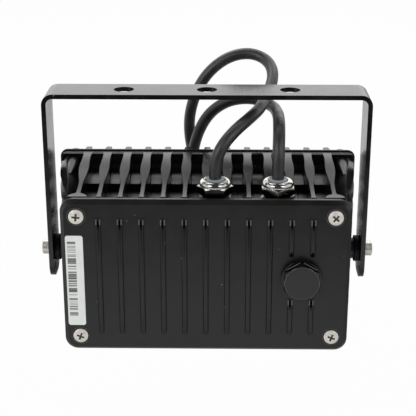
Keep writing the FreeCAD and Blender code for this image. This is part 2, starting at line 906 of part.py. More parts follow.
def vent_plug():
    """Flange, hexagon with a turned-down face, and the hollow stem that passes the cover."""
    flange = cylinder_y(vent_flange_diameter, vent_hex_y, vent_flange_y, vent_x, 0)
    prism = hexagon(vent_hex_across, vent_hex_height, Vector(vent_x, vent_hex_y, 0), Vector(0, -1, 0))
    face_radius = vent_face_diameter / 2
    widening = (vent_hex_across / math.sqrt(3) - face_radius) / vent_hex_bevel
    foot_radius = face_radius + widening * vent_hex_height
    cone = Part.makeCone(
        foot_radius, face_radius, vent_hex_height, Vector(vent_x, vent_hex_y, 0), Vector(0, -1, 0)
    )
    stem = cylinder_y(vent_stem_diameter, vent_flange_y, vent_flange_y + vent_stem_length, vent_x, 0)
    bore = cylinder_y(vent_bore_diameter, vent_hex_y, vent_flange_y + vent_stem_length + 1, vent_x, 0)
    return joined([flange, prism.common(cone), stem]).cut(bore)


def vent_plug_seal():
    """The flat ring under the flange."""
    hole = vent_stem_diameter + 2 * vent_stem_clearance
    ring = cylinder_y(vent_seal_diameter, vent_flange_y, cover_face_y, vent_x, 0)
    return ring.cut(cylinder_y(hole, vent_flange_y - 1, cover_face_y + 1, vent_x, 0))


def vent_plug_nut():
    """The nut behind the cover."""
    nut = hexagon(vent_nut_across, vent_nut_thickness, Vector(vent_x, cover_seat_y, 0), Vector(0, 1, 0))
    hole = vent_stem_diameter + 2 * thread_clearance
    end_y = cover_seat_y + vent_nut_thickness + 1
    return nut.cut(cylinder_y(hole, cover_seat_y - 1, end_y, vent_x, 0))


# Front


def front_frame():
    """The cast frame: sloping sides with ribs, a bevelled window and the glass seat."""
    wide = rim_width + 2 * frame_overhang
    high = rim_height + 2 * frame_overhang
    corner = rim_corner + frame_overhang
    step_y = rim_front_y + frame_step
    narrow = 2 * frame_slope
    parts = [
        rounded_plate(wide, high, corner, rim_front_y, step_y),
        tapered_plate((wide, high, corner, step_y), (wide - narrow, high - narrow, corner, frame_front_y)),
    ]
    for x in spread(fin_count, fin_pitch):
        parts += [turned(frame_rib(high / 2), 0, x), turned(frame_rib(high / 2), 180, x)]
    for z in spread(side_fin_count, fin_pitch):
        parts += [turned(frame_rib(wide / 2), 90, 0, z), turned(frame_rib(wide / 2), -90, 0, z)]
    for x, z in corners(frame_screw_spacing_x, frame_screw_spacing_z):
        parts.append(cylinder_y(frame_pad_diameter, step_y, frame_front_y, x, z))
    lip_y = glass_front_y + frame_lip_gap
    seat_width = glass_width + 2 * glass_edge_clearance
    seat_height = glass_height + 2 * glass_edge_clearance
    seat_corner = glass_corner + glass_edge_clearance
    flare = 2 * window_bevel
    cuts = [
        rounded_plate(seat_width, seat_height, seat_corner, rim_front_y - 1, lip_y),
        rounded_plate(window_width, window_height, window_corner, lip_y - 1, frame_front_y + 1),
        tapered_plate(
            (window_width, window_height, window_corner, frame_front_y - window_bevel),
            (window_width + flare, window_height + flare, window_corner + window_bevel, frame_front_y),
        ),
    ]
    hole = frame_screw_diameter + 2 * frame_screw_hole_clearance
    sink = frame_screw_head_diameter + 2 * frame_screw_head_clearance
    for x, z in corners(frame_screw_spacing_x, frame_screw_spacing_z):
        cuts.append(cylinder_y(hole, rim_front_y - 1, frame_seat_y + 1, x, z))
        cuts.append(cylinder_y(sink, frame_seat_y, frame_front_y + 1, x, z))
    return joined(parts).cut(cuts)


def frame_rib(reach):
    """One rib on the frame's sloping side, upright, with its top level with the frame's rear edge."""
    root = frame_rib_root_width / 2
    tip = frame_rib_tip_width / 2
    end_y = rim_front_y + frame_step + frame_rib_length
    points = [
        Vector(-root, rim_front_y, reach - frame_slope),
        Vector(-tip, end_y, reach - frame_slope),
        Vector(tip, end_y, reach - frame_slope),
        Vector(root, rim_front_y, reach - frame_slope),
    ]
    return Part.Face(Part.makePolygon(points + points[:1])).extrude(Vector(0, 0, frame_slope))


def front_frame_screws():
    """Four socket cap screws sunk in the frame's corners."""
    return Part.makeCompound(
        [
            socket_screw(
                frame_screw_diameter,
                frame_screw_length,
                frame_screw_head_diameter,
                frame_screw_head_height,
                frame_screw_socket_across,
                frame_screw_socket_depth,
                Vector(x, frame_seat_y, z),
                Vector(0, -1, 0),
                socket_head_edge,
            )
            for x, z in corners(frame_screw_spacing_x, frame_screw_spacing_z)
        ]
    )


def front_glass():
    """The flat glass."""
    return rounded_plate(glass_width, glass_height, glass_corner, glass_rear_y, glass_front_y)


def glass_gasket():
    """The rubber ring between rim and glass."""
    ring = rounded_plate(glass_width, glass_height, glass_corner, rim_front_y, glass_rear_y)
    hole = rounded_plate(
        led_recess_width, led_recess_height, led_recess_corner, rim_front_y - 1, glass_rear_y + 1
    )
    return ring.cut(hole)


# Light engine


def led_places():
    """The grid of the LEDs."""
    return [(x, z) for x in spread(led_columns, led_pitch_x) for z in spread(led_rows, led_pitch_z)]


def thermal_pad():
    """The soft pad under the LED board."""
    pad = rounded_plate(
        led_board_width, led_board_height, led_board_corner, recess_floor_y, led_board_rear_y
    )
    return pad.cut(board_holes())


def led_board():
    """The metal circuit board."""
    board = rounded_plate(
        led_board_width, led_board_height, led_board_corner, led_board_rear_y, led_board_front_y
    )
    return board.cut(board_holes())


def board_holes():
    """The holes that go through LED board and pad."""
    hole = led_board_screw_diameter + 2 * led_board_screw_clearance
    cuts = [
        cylinder_y(hole, recess_floor_y - 1, led_board_front_y + 1, x, z)
        for x, z in corners(led_board_screw_spacing_x, led_board_screw_spacing_z)
    ]
    return cuts + [cylinder_y(wire_hole_diameter, recess_floor_y - 1, led_board_front_y + 1, wire_hole_x, 0)]


def led_chips():
    """The LED packages on the board."""
    half = led_size / 2
    top_y = led_board_front_y + led_height
    return Part.makeCompound(
        [box(x - half, x + half, led_board_front_y, top_y, z - half, z + half) for x, z in led_places()]
    )


def led_board_screws():
    """Four screws that hold the LED board down."""
    screws = []
    for x, z in corners(led_board_screw_spacing_x, led_board_screw_spacing_z):
        screw = cross_screw(
            led_board_screw_diameter,
            led_board_screw_length,
            led_board_screw_head_diameter,
            led_board_screw_head_height,
            0,
            0,
            0,
        )
        screw.rotate(Vector(0, 0, 0), Vector(0, 0, 1), 180)
        screw.translate(Vector(x, led_board_front_y, z))
        screws.append(screw)
    return Part.makeCompound(screws)


def reflector():
    """The formed tray round the LEDs: a floor with holes and sloping walls up to the glass gasket."""
    mouth_width = led_recess_width - 2 * reflector_edge_gap
    mouth_height = led_recess_height - 2 * reflector_edge_gap
    mouth_corner = led_recess_corner - reflector_edge_gap
    top_y = rim_front_y - reflector_edge_gap
    floor_y = led_board_front_y
    wall = 2 * reflector_wall
    outside = tapered_plate(
        (reflector_floor_width, reflector_floor_height, reflector_corner, floor_y),
        (mouth_width, mouth_height, mouth_corner, top_y),
    )
    inner_width = reflector_floor_width - wall
    inner_height = reflector_floor_height - wall
    inside = tapered_plate(
        (inner_width, inner_height, reflector_corner - reflector_wall, floor_y + reflector_wall),
        (mouth_width - wall, mouth_height - wall, mouth_corner - reflector_wall, top_y),
    )
    cuts = [inside]
    half = led_size / 2 + reflector_hole_gap
    rear_y = floor_y - 1
    front_y = floor_y + reflector_wall + 1
    cuts += [box(x - half, x + half, rear_y, front_y, z - half, z + half) for x, z in led_places()]
    head = led_board_screw_head_diameter + 2 * reflector_hole_gap
    cuts += [
        cylinder_y(head, rear_y, front_y, x, z)
        for x, z in corners(led_board_screw_spacing_x, led_board_screw_spacing_z)
    ]
    slot_start = wire_hole_x - wire_hole_diameter / 2 - reflector_hole_gap
    slot_half = wire_slot_height / 2
    cuts.append(box(slot_start, slot_start + wire_slot_width, rear_y, front_y, -slot_half, slot_half))
    return outside.cut(cuts)


def wire_grommet():
    """The bush in the base plate's wire hole."""
    end_y = plate_rear_y - grommet_flange_thickness
    sleeve = cylinder_y(wire_hole_diameter, plate_rear_y, recess_floor_y, wire_hole_x, 0)
    flange = cylinder_y(grommet_flange_diameter, end_y, plate_rear_y, wire_hole_x, 0)
    bore = wire_hole_diameter - 2 * grommet_wall
    return joined([sleeve, flange]).cut(cylinder_y(bore, end_y - 1, recess_floor_y + 1, wire_hole_x, 0))


def led_wire(z):
    """One wire from the driver board through the base plate to the LED board."""
    rear_y = driver_board_rear_y - led_wire_diameter / 2
    front_y = led_board_front_y + led_wire_diameter / 2
    points = (
        Vector(led_wire_start_x, rear_y, z),
        Vector(wire_hole_x + wire_hole_diameter / 2, rear_y, z),
        Vector(wire_hole_x, plate_rear_y - grommet_flange_thickness, z),
        Vector(wire_hole_x, front_y, z),
        Vector(led_wire_pad_x, front_y, z),
    )
    return wire_run(points, led_wire_diameter)


# Driver


def driver_board():
    """The driver's circuit board."""
    width = driver_board_width / 2
    height = driver_board_height / 2
    board = box(
        driver_board_x - width,
        driver_board_x + width,
        driver_board_rear_y,
        driver_board_front_y,
        driver_board_z - height,
        driver_board_z + height,
    )
    hole = driver_screw_diameter + 2 * driver_screw_clearance
    rear_y = driver_board_rear_y - 1
    front_y = driver_board_front_y + 1
    return board.cut([cylinder_y(hole, rear_y, front_y, x, z) for x, z in driver_places()])


def driver_board_screws():
    """Four screws that hold the driver board on its pillars."""
    return Part.makeCompound(
        [
            cross_screw(
                driver_screw_diameter,
                driver_screw_length,
                driver_screw_head_diameter,
                driver_screw_head_height,
                driver_board_rear_y,
                x,
                z,
            )
            for x, z in driver_places()
        ]
    )


def on_board(width, height, depth, x, z):
    """A block that stands on the driver board."""
    rear_y = driver_board_rear_y - depth
    return box(x - width / 2, x + width / 2, rear_y, driver_board_rear_y, z - height / 2, z + height / 2)


def driver_transformer():
    """Ferrite core with the taped winding standing proud of it above and below."""
    core = on_board(transformer_width, transformer_height, transformer_depth, transformer_x, transformer_z)
    winding_height = transformer_height + 2 * winding_overhang
    winding = rounded_plate(
        transformer_width - 2 * winding_inset,
        winding_height,
        winding_overhang,
        driver_board_rear_y - transformer_depth + winding_overhang,
        driver_board_rear_y,
        transformer_x,
        transformer_z,
    )
    return joined([core, winding])


def driver_capacitors():
    """Two cans that stand on the board, each with the bead groove near its foot."""
    cans = []
    for offset in spread(capacitor_count, capacitor_pitch):
        x = capacitor_x + offset
        can = cylinder_y(
            capacitor_diameter, driver_board_rear_y - capacitor_length, driver_board_rear_y, x, capacitor_z
        )
        groove_y = driver_board_rear_y - capacitor_groove_place
        ring = cylinder_y(capacitor_diameter + 1, groove_y - capacitor_groove_width, groove_y, x, capacitor_z)
        waist = capacitor_diameter - 2 * capacitor_groove_depth
        ring = ring.cut(cylinder_y(waist, groove_y - capacitor_groove_width, groove_y, x, capacitor_z))
        cans.append(can.cut(ring))
    return Part.makeCompound(cans)


def driver_choke():
    """A wound ring that lies on the board."""
    ring = cylinder_y(
        choke_outer_diameter, driver_board_rear_y - choke_width, driver_board_rear_y, choke_x, choke_z
    )
    hole = cylinder_y(
        choke_inner_diameter, driver_board_rear_y - choke_width - 1, driver_board_rear_y + 1, choke_x, choke_z
    )
    return ring.cut(hole)


def driver_transistors():
    """Upright power transistors."""
    cases = []
    for offset in spread(transistor_count, transistor_pitch):
        x = transistor_x + offset
        cases.append(on_board(transistor_width, transistor_thickness, transistor_height, x, transistor_z))
    return Part.makeCompound(cases)


def driver_fuse():
    """A glass fuse in its two clips."""
    y = driver_board_rear_y - fuse_lift - fuse_diameter / 2
    half = fuse_length / 2
    parts = [cylinder_z(fuse_diameter, fuse_z - half, fuse_z + half, fuse_x, y)]
    for place in (-half + fuse_clip_length / 2, half - fuse_clip_length / 2):
        parts.append(
            on_board(fuse_clip_width, fuse_clip_length, fuse_lift + fuse_diameter / 2, fuse_x, fuse_z + place)
        )
    return joined(parts)


def terminal_xs():
    """The middle of each way of the terminal block."""
    return [terminal_x + offset for offset in spread(terminal_ways, terminal_pitch)]


def driver_terminals():
    """The terminal block, with a wire way and a screw well for each core."""
    block = on_board(terminal_width, terminal_height, terminal_depth, terminal_x, terminal_z)
    top_z = terminal_z + terminal_height / 2
    mid_y = driver_board_rear_y - terminal_depth / 2
    face_y = driver_board_rear_y - terminal_depth
    well_y = face_y + terminal_screw_depth
    cuts = []
    for x in terminal_xs():
        cuts.append(cylinder_z(terminal_way_diameter, top_z - terminal_way_depth, top_z + 1, x, mid_y))
        cuts.append(cylinder_y(terminal_screw_diameter, face_y - 1, well_y, x, terminal_z))
    return block.cut(cuts)


def earth_screw():
    """The earth screw with the crimped ring terminal under its head."""
    screw = cross_screw(
        earth_screw_diameter,
        earth_screw_length,
        earth_screw_head_diameter,
        earth_screw_head_height,
        earth_ring_y,
        earth_screw_x,
        earth_screw_z,
    )
    ring = cylinder_y(earth_ring_diameter, earth_ring_y, earth_boss_y, earth_screw_x, earth_screw_z)
    low_z = earth_screw_z - earth_barrel_diameter / 2
    high_z = earth_screw_z + earth_barrel_diameter / 2
    tab = box(earth_screw_x, earth_barrel_x + 1, earth_ring_y, earth_boss_y, low_z, high_z)
    barrel = cylinder_x(
        earth_barrel_diameter, earth_barrel_x, earth_barrel_end_x, earth_ring_y, earth_screw_z
    )
    bore = cylinder_y(earth_screw_diameter, earth_ring_y - 1, plate_rear_y, earth_screw_x, earth_screw_z)
    return Part.makeCompound([screw, joined([ring, tab, barrel]).cut(bore)])


# Cable glands


def upright_ring(outer, inner, z0, z1, x):
    """A ring on a gland's axis."""
    return cylinder_z(outer, z0, z1, x, gland_y).cut(cylinder_z(inner, z0 - 1, z1 + 1, x, gland_y))


def gland_body(x, turn):
    """Hexagon, thread through the box roof and the neck that holds the seal."""
    hexed = hexagon(gland_across, gland_body_height, Vector(x, gland_y, gland_body_z), Vector(0, 0, 1), turn)
    thread = cylinder_z(gland_thread_diameter, box_roof_z - gland_thread_length, gland_body_z, x, gland_y)
    neck = cylinder_z(gland_neck_diameter, gland_neck_z, gland_neck_top_z, x, gland_y)
    seal_bore = gland_seal_diameter + 2 * gland_fit_clearance
    lead_bore = lead_diameter + 2 * gland_fit_clearance
    cuts = [
        cylinder_z(lead_bore, box_roof_z - gland_thread_length - 1, gland_seal_z, x, gland_y),
        cylinder_z(seal_bore, gland_seal_z, gland_neck_top_z + 1, x, gland_y),
    ]
    return joined([hexed, thread, neck]).cut(cuts)


def gland_nut(x, turn):
    """The cap nut: a hexagon with a domed crown and a round mouth."""
    face = gland_across / 2 - gland_nut_face_inset
    wide = gland_corner_radius + gland_nut_face_inset
    bevel = gland_nut_bevel * (wide - face) / (gland_corner_radius - face)
    mouth = gland_nut_mouth_diameter / 2
    low = gland_nut_z
    bend = Vector((face + mouth) / 2 + gland_nut_dome, 0, gland_crown_z + gland_nut_crown * 0.8)
    profile = [
        Part.makeLine(Vector(mouth, 0, low), Vector(face, 0, low)),
        Part.makeLine(Vector(face, 0, low), Vector(wide, 0, low + bevel)),
        Part.makeLine(Vector(wide, 0, low + bevel), Vector(wide, 0, gland_crown_z - bevel)),
        Part.makeLine(Vector(wide, 0, gland_crown_z - bevel), Vector(face, 0, gland_crown_z)),
        Part.Arc(Vector(face, 0, gland_crown_z), bend, Vector(mouth, 0, gland_mouth_z)).toShape(),
        Part.makeLine(Vector(mouth, 0, gland_mouth_z), Vector(mouth, 0, low)),
    ]
    turned_form = Part.Face(Part.Wire(profile)).revolve(Vector(0, 0, 0), Vector(0, 0, 1), 360)
    turned_form.translate(Vector(x, gland_y, 0))
    height = gland_mouth_z - low + 2
    prism = hexagon(gland_across, height, Vector(x, gland_y, low - 1), Vector(0, 0, 1), turn)
    neck_bore = gland_neck_diameter + 2 * gland_fit_clearance
    neck_room = cylinder_z(neck_bore, low - 1, gland_neck_top_z + gland_fit_clearance, x, gland_y)
    return turned_form.common(prism).cut(neck_room)


def gland_seal(x):
    """The rubber sleeve round the lead."""
    inner = lead_diameter + 2 * gland_fit_clearance
    return upright_ring(gland_seal_diameter, inner, gland_seal_z, gland_exit_z, x)


def gland_washer(x):
    """The sealing washer under the gland body."""
    inner = gland_thread_diameter + 2 * gland_hole_clearance
    return upright_ring(gland_washer_diameter, inner, box_roof_z, gland_body_z, x)


def gland_locknut(x):
    """The nut inside the box, one flat towards the cover."""
    base = Vector(x, gland_y, box_ceiling_z - gland_locknut_thickness)
    nut = hexagon(gland_locknut_across, gland_locknut_thickness, base, Vector(0, 0, 1))
    inner = gland_thread_diameter + 2 * thread_clearance
    return nut.cut(cylinder_z(inner, base.z - 1, box_ceiling_z + 1, x, gland_y))


# Leads


def core_places(origin, along):
    """Where three cores start round a lead's middle, from left to right, on its cut face."""
    radius = core_circle_diameter / 2
    lay = FreeCAD.Rotation(Vector(0, 0, -1), along)
    angles = [math.radians(a) for a in (210, 90, -30)]
    return [origin + lay.multVec(Vector(radius * math.cos(a), radius * math.sin(a), 0)) for a in angles]


def lead(route):
    """The sheath from the gland's mouth to its cut end."""
    shape, length, radii = tube(route, lead_diameter)
    section = math.pi * lead_diameter**2 / 4
    print("lead length", round(length, 1), "volume ratio", round(shape.Volume / section / length, 4))
    print("radii", [round(r, 1) for r in radii])
    return shape


def lead_inside(x):
    """The straight stretch of the sheath through gland and box roof."""
    return cylinder_z(lead_diameter, lead_inside_end_z, gland_exit_z, x, gland_y)


def end_cores(route):
    """Three bared cores that hang from the cut sheath, each with a stripped tip."""
    end = route[-1]
    along = (end - route[-2]).normalize()
    cores = []
    for root in core_places(end, along):
        splay = (root - end) * bare_core_splay
        straight = root + along * bare_core_straight
        tip = root + splay + along * bare_core_length
        insulated = wire_run((root, straight, tip), core_diameter)
        strand = bar(tip_diameter, tip, tip + (tip - straight).normalize() * tip_length)
        cores.append(joined([insulated, strand]))
    return Part.makeCompound(cores)


def core_to_way(start, drop, way_x):
    """One core from the sheath's inner end to a way of the terminal block."""
    top_z = terminal_z + terminal_height / 2
    mid_y = driver_board_rear_y - terminal_depth / 2
    low = start - Vector(0, 0, drop)
    far = Vector(way_x, mid_y - core_turn_back, top_z + core_turn_height)
    between = (low + far) / 2 - Vector(0, 0, core_sag)
    points = (
        start,
        low,
        between,
        far,
        Vector(way_x, mid_y, top_z + core_turn_height - core_turn_back),
        Vector(way_x, mid_y, top_z - terminal_way_depth + 1),
    )
    return wire_run(points, core_diameter)


def core_to_earth(start, drop):
    """The earth core, which passes behind the transistors to the ring terminal."""
    low = start - Vector(0, 0, drop)
    barrel = Vector(earth_barrel_end_x, earth_ring_y, earth_screw_z)
    points = (
        start,
        low,
        Vector(-9, -25, 15),
        Vector(-24, -21, 16),
        Vector(-35, -10, 15.5),
        barrel + Vector(earth_barrel_length, 0, 0),
        barrel,
    )
    return wire_run(points, core_diameter)


def supply_cores_inside():
    """Supply cores: two to the terminal block, the left one to the earth screw."""
    left, middle, right = core_places(Vector(supply_x, gland_y, lead_inside_end_z), Vector(0, 0, -1))
    ways = terminal_xs()
    return Part.makeCompound(
        [
            core_to_earth(left, core_long_drop),
            core_to_way(middle, core_short_drop, ways[0]),
            core_to_way(right, core_long_drop, ways[1]),
        ]
    )


def control_cores_inside():
    """Control cores: three to the terminal block."""
    left, middle, right = core_places(Vector(control_x, gland_y, lead_inside_end_z), Vector(0, 0, -1))
    ways = terminal_xs()
    return Part.makeCompound(
        [
            core_to_way(left, core_long_drop, ways[3]),
            core_to_way(middle, core_short_drop, ways[4]),
            core_to_way(right, core_long_drop, ways[5]),
        ]
    )


pieces = {
    "bracket": bracket(),
    "pivot_screws": pivot_screws(),
    "pivot_spacers": pivot_spacers(),
    "heatsink_housing": heatsink_housing(),
    "driver_cover": driver_cover(),
    "cover_gasket": cover_gasket(),
    "cover_screws": cover_screws(),
    "cover_label": cover_label(),
    "vent_plug": vent_plug(),
    "vent_plug_seal": vent_plug_seal(),
    "vent_plug_nut": vent_plug_nut(),
    "front_frame": front_frame(),
    "front_frame_screws": front_frame_screws(),
    "front_glass": front_glass(),
    "glass_gasket": glass_gasket(),
    "thermal_pad": thermal_pad(),
    "led_board": led_board(),
    "led_chips": led_chips(),
    "led_board_screws": led_board_screws(),
    "reflector": reflector(),
    "wire_grommet": wire_grommet(),
    "led_wire_positive": led_wire(led_wire_spacing / 2),
    "led_wire_negative": led_wire(-led_wire_spacing / 2),
    "driver_board": driver_board(),
    "driver_board_screws": driver_board_screws(),
    "driver_transformer": driver_transformer(),
    "driver_capacitors": driver_capacitors(),
    "driver_choke": driver_choke(),
    "driver_transistors": driver_transistors(),
    "driver_fuse": driver_fuse(),
    "driver_terminals": driver_terminals(),
    "earth_screw": earth_screw(),
    "supply_cores_inside": supply_cores_inside(),
    "control_cores_inside": control_cores_inside(),
}
sides = (
    ("supply", supply_x, supply_gland_body_turn, supply_gland_nut_turn, supply_route),
    ("control", control_x, control_gland_body_turn, control_gland_nut_turn, control_route),
)
for side, x, body_turn, nut_turn, route in sides:
    pieces[side + "_gland_body"] = gland_body(x, body_turn)
    pieces[side + "_gland_nut"] = gland_nut(x, nut_turn)
    pieces[side + "_gland_seal"] = gland_seal(x)
    pieces[side + "_gland_washer"] = gland_washer(x)
    pieces[side + "_gland_locknut"] = gland_locknut(x)
    pieces[side + "_lead"] = lead(route)
    pieces[side + "_lead_inside"] = lead_inside(x)
    pieces[side + "_lead_cores"] = end_cores(route)

os.makedirs("parts", exist_ok=True)
for name, piece in pieces.items():
    piece.translate(Vector(0, 0, -pivot_drop))
    if not piece.isValid():
        raise ValueError(name + " is not a valid shape")
    piece.exportStep(os.path.join("parts", name + ".step"))
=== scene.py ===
"""Looks of an LED floodlight: its finishes, leads, pivot screws, light and camera.

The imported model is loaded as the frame, and every piece below is made around it. Sizes are in
metres, apart from the short lists of numbers that are multiplied by MM.
"""

import json
import math

import bmesh
import bpy
from bpy.props import FloatProperty, FloatVectorProperty, IntProperty, PointerProperty
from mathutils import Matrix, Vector


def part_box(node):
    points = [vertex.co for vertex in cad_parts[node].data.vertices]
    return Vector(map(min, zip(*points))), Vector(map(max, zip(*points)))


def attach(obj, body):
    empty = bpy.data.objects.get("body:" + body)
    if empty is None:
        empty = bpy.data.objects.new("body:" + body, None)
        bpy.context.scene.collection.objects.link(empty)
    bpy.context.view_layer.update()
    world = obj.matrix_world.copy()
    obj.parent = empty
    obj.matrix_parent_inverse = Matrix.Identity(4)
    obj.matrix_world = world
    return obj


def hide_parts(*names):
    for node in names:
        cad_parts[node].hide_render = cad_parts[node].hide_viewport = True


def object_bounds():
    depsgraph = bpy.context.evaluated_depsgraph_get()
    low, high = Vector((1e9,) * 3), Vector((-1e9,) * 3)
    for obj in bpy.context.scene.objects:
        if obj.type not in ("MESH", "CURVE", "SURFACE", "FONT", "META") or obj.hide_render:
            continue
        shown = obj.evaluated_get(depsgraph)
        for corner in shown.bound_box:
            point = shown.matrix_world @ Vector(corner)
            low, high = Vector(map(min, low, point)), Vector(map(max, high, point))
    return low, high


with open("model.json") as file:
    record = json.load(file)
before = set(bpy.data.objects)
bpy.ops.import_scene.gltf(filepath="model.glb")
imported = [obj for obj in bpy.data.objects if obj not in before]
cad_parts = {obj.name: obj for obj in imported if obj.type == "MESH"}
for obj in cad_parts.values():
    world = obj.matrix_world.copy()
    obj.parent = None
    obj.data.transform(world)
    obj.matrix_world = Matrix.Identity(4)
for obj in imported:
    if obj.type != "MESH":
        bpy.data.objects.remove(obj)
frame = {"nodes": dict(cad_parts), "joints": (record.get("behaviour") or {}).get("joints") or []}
CAD_BOX = [list(corner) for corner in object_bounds()]

bl_info = {
    "name": "Floodlight looks",
    "version": (1, 0, 0),
    "blender": (4, 5, 0),
    "location": "View3D > Sidebar > Floodlight",
    "description": "Dresses an LED floodlight in powder coat, plating, steel, rubber and glass",
    "category": "Object",
}

MM = 0.001

# The lamp turns about this point, and both routes below are counted from it
PIVOT = Vector(frame["joints"][0]["pos_m"])

# Routes of the two leads, from the gland's mouth to the cut sheath, in millimetres
SUPPLY_ROUTE = (
    (4.7, -28, 51), (4.7, -28, 59.5), (8, -26.5, 68), (14.9, -21, 75), (23.3, -9.5, 79),
    (28.6, 5, 79.7), (32.3, 18, 82), (35.8, 27.5, 87.2), (37.3, 35.5, 92), (35.9, 43, 96.2),
    (31.2, 48.3, 99.4), (24, 51, 101), (15.2, 51.5, 99.8), (6.4, 51.5, 95.3), (-2, 51.5, 87),
    (-8, 51.5, 75.7), (-11.4, 51.5, 62.5), (-11, 51.5, 48), (-7, 51.3, 32), (-2, 50.5, 12),
    (0, 49.5, -10), (-1, 49, -32), (-2, 49.5, -50),
)
CONTROL_ROUTE = (
    (38, -28, 51), (38, -28, 60), (38.3, -24.5, 68.6), (38.7, -17, 75), (39, -5, 77),
    (39.2, 10.5, 75.8), (37.2, 24.5, 76.5), (26.4, 33.3, 79), (12.7, 38, 76.5), (1.8, 41, 69),
    (-5.6, 42.3, 57), (-9.8, 42.8, 40), (-13, 43.2, 20), (-18, 43.5, -2), (-20, 44, -26),
    (-19, 44.5, -48),
)

# Spacing of the LED packages
LED_PITCH_X = 8.5 * MM
LED_PITCH_Z = 11.0 * MM

# Radius of the cover screws' heads
SCREW_HEAD = 4.0 * MM


# Sizes and colours that a user would change


def measure(name, description, default):
    """A length as a setting."""
    return FloatProperty(name=name, description=description, default=default, unit="LENGTH")


def finish_colour(name, description, default):
    """A colour as a setting."""
    return FloatVectorProperty(name=name, description=description, default=default, subtype="COLOR")


class FinishSettings(bpy.types.PropertyGroup):
    """Colours of the finishes."""

    casting_colour: finish_colour(
        "Casting coat", "Powder coat of the finned casting and of the front frame", (0.007, 0.007, 0.0069)
    )
    cover_colour: finish_colour("Cover coat", "Powder coat of the rear cover", (0.005, 0.005, 0.0049))
    yoke_colour: finish_colour("Yoke coat", "Powder coat of the folded yoke", (0.006, 0.006, 0.006))
    steel_colour: finish_colour("Screw steel", "Stainless steel of the screws", (0.87, 0.835, 0.77))
    plating_colour: finish_colour("Gland plating", "Nickel plating of the cable glands", (0.78, 0.76, 0.72))
    sheath_colour: finish_colour("Lead sheath", "Sheath of both leads", (0.015, 0.0155, 0.016))
    label_colour: finish_colour("Label film", "Film of the blank label", (0.88, 0.9, 0.88))


class LeadSettings(bpy.types.PropertyGroup):
    """Sizes of the leads and of their bared cores."""

    supply_length: measure("Supply length", "Real length of the supply lead's sheath", 0.2886)
    control_length: measure("Control length", "Real length of the control lead's sheath", 0.2301)
    diameter: measure("Sheath diameter", "Outer diameter of the sheath", 0.0066)
    core_diameter: measure("Core diameter", "Diameter of one insulated core", 0.0022)
    core_circle: measure("Core circle", "Diameter of the circle that the cores lie on", 0.0029)
    core_straight: measure("Core start", "Length over which a core runs straight out of the sheath", 0.006)
    core_length: measure("Core length", "Length of the insulated core outside the sheath", 0.022)
    core_splay: FloatProperty(
        name="Core splay",
        description="How far the cores spread, as a share of their distance from the middle",
        default=0.8,
    )
    strand_diameter: measure("Strand diameter", "Diameter of the stripped tip", 0.0012)
    strand_length: measure("Strand length", "Length of the stripped tip", 0.006)


class ScrewSettings(bpy.types.PropertyGroup):
    """Sizes of the pivot screws' fine forms."""

    shank_diameter: measure("Shank diameter", "Diameter of the thread", 0.005)
    head_height: measure("Head height", "Height of the cap head", 0.005)
    socket_across: measure("Socket", "Width of the hexagonal socket across its flats", 0.004)
    socket_depth: measure("Socket depth", "Depth of the hexagonal socket", 0.0026)
    knurl_count: IntProperty(name="Knurl ridges", description="Ridges round the head", default=40)
    knurl_depth: measure("Knurl depth", "Depth of the grooves between the ridges", 0.00003)


class StageSettings(bpy.types.PropertyGroup):
    """Camera, floor and light."""

    camera_back: measure("Camera distance", "How far the camera stands behind the lamp", 0.58493)
    camera_height: measure("Camera height", "Height of the camera above the yoke's mounting face", 0.14805)
    camera_side: measure("Camera offset", "How far the camera stands to the lamp's right", 0.0086)
    camera_tilt: FloatProperty(
        name="Camera tilt",
        description="How far the camera looks down",
        default=math.radians(20.292),
        subtype="ANGLE",
    )
    focal_length: FloatProperty(
        name="Focal length",
        description="Focal length on a 36 mm sensor, in millimetres",
        default=96.0,
    )
    floor_drop: measure("Floor drop", "How far the floor lies below the lamp's lowest point", 0.05)


# Small helpers for shader trees


def add(tree, kind, inputs=None, **settings):
    """A shader node with its settings, and its inputs set from values or linked from sockets."""
    node = tree.nodes.new("ShaderNode" + kind)
    for key, value in settings.items():
        setattr(node, key, value)
    for key, value in (inputs or {}).items():
        feed(node.inputs[key], value)
    return node


def feed(socket, value):
    """Sets a socket from a number or colour, or links it to another socket."""
    if isinstance(value, bpy.types.NodeSocket):
        socket.id_data.links.new(value, socket)
    else:
        socket.default_value = value


def maths(tree, operation, first, second=0.0):
    """The result of one sum."""
    return add(tree, "Math", {0: first, 1: second}, operation=operation).outputs[0]


def product(tree, *values):
    """Several values multiplied together."""
    result = values[0]
    for value in values[1:]:
        result = maths(tree, "MULTIPLY", result, value)
    return result


def ramp(tree, value, low, high, start=0.0, end=1.0):
    """A value taken smoothly from one range to another."""
    inputs = {"Value": value, "From Min": low, "From Max": high, "To Min": start, "To Max": end}
    return add(tree, "MapRange", inputs, interpolation_type="SMOOTHSTEP").outputs["Result"]


def blended(tree, factor, first, second):
    """Two colours mixed by a factor."""
    return add(tree, "Mix", {0: factor, 6: first, 7: second}, data_type="RGBA").outputs[2]


def colour(value):
    """A colour with full alpha."""
    return (*value, 1.0)


def axes(tree):
    """The three coordinates of a point on the piece, in metres, in the shared frame at rest."""
    place = add(tree, "TexCoord").outputs["Object"]
    return add(tree, "SeparateXYZ", {0: place}).outputs


def new_group(name, inputs, outputs):
    """An empty node group with named inputs and outputs."""
    group = bpy.data.node_groups.new(name, "ShaderNodeTree")
    for label, value in inputs:
        socket = group.interface.new_socket(label, in_out="INPUT", socket_type="NodeSocketFloat")
        socket.default_value = value
    for label, kind in outputs:
        group.interface.new_socket(label, in_out="OUTPUT", socket_type="NodeSocket" + kind)
    return group, group.nodes.new("NodeGroupInput").outputs, group.nodes.new("NodeGroupOutput").inputs


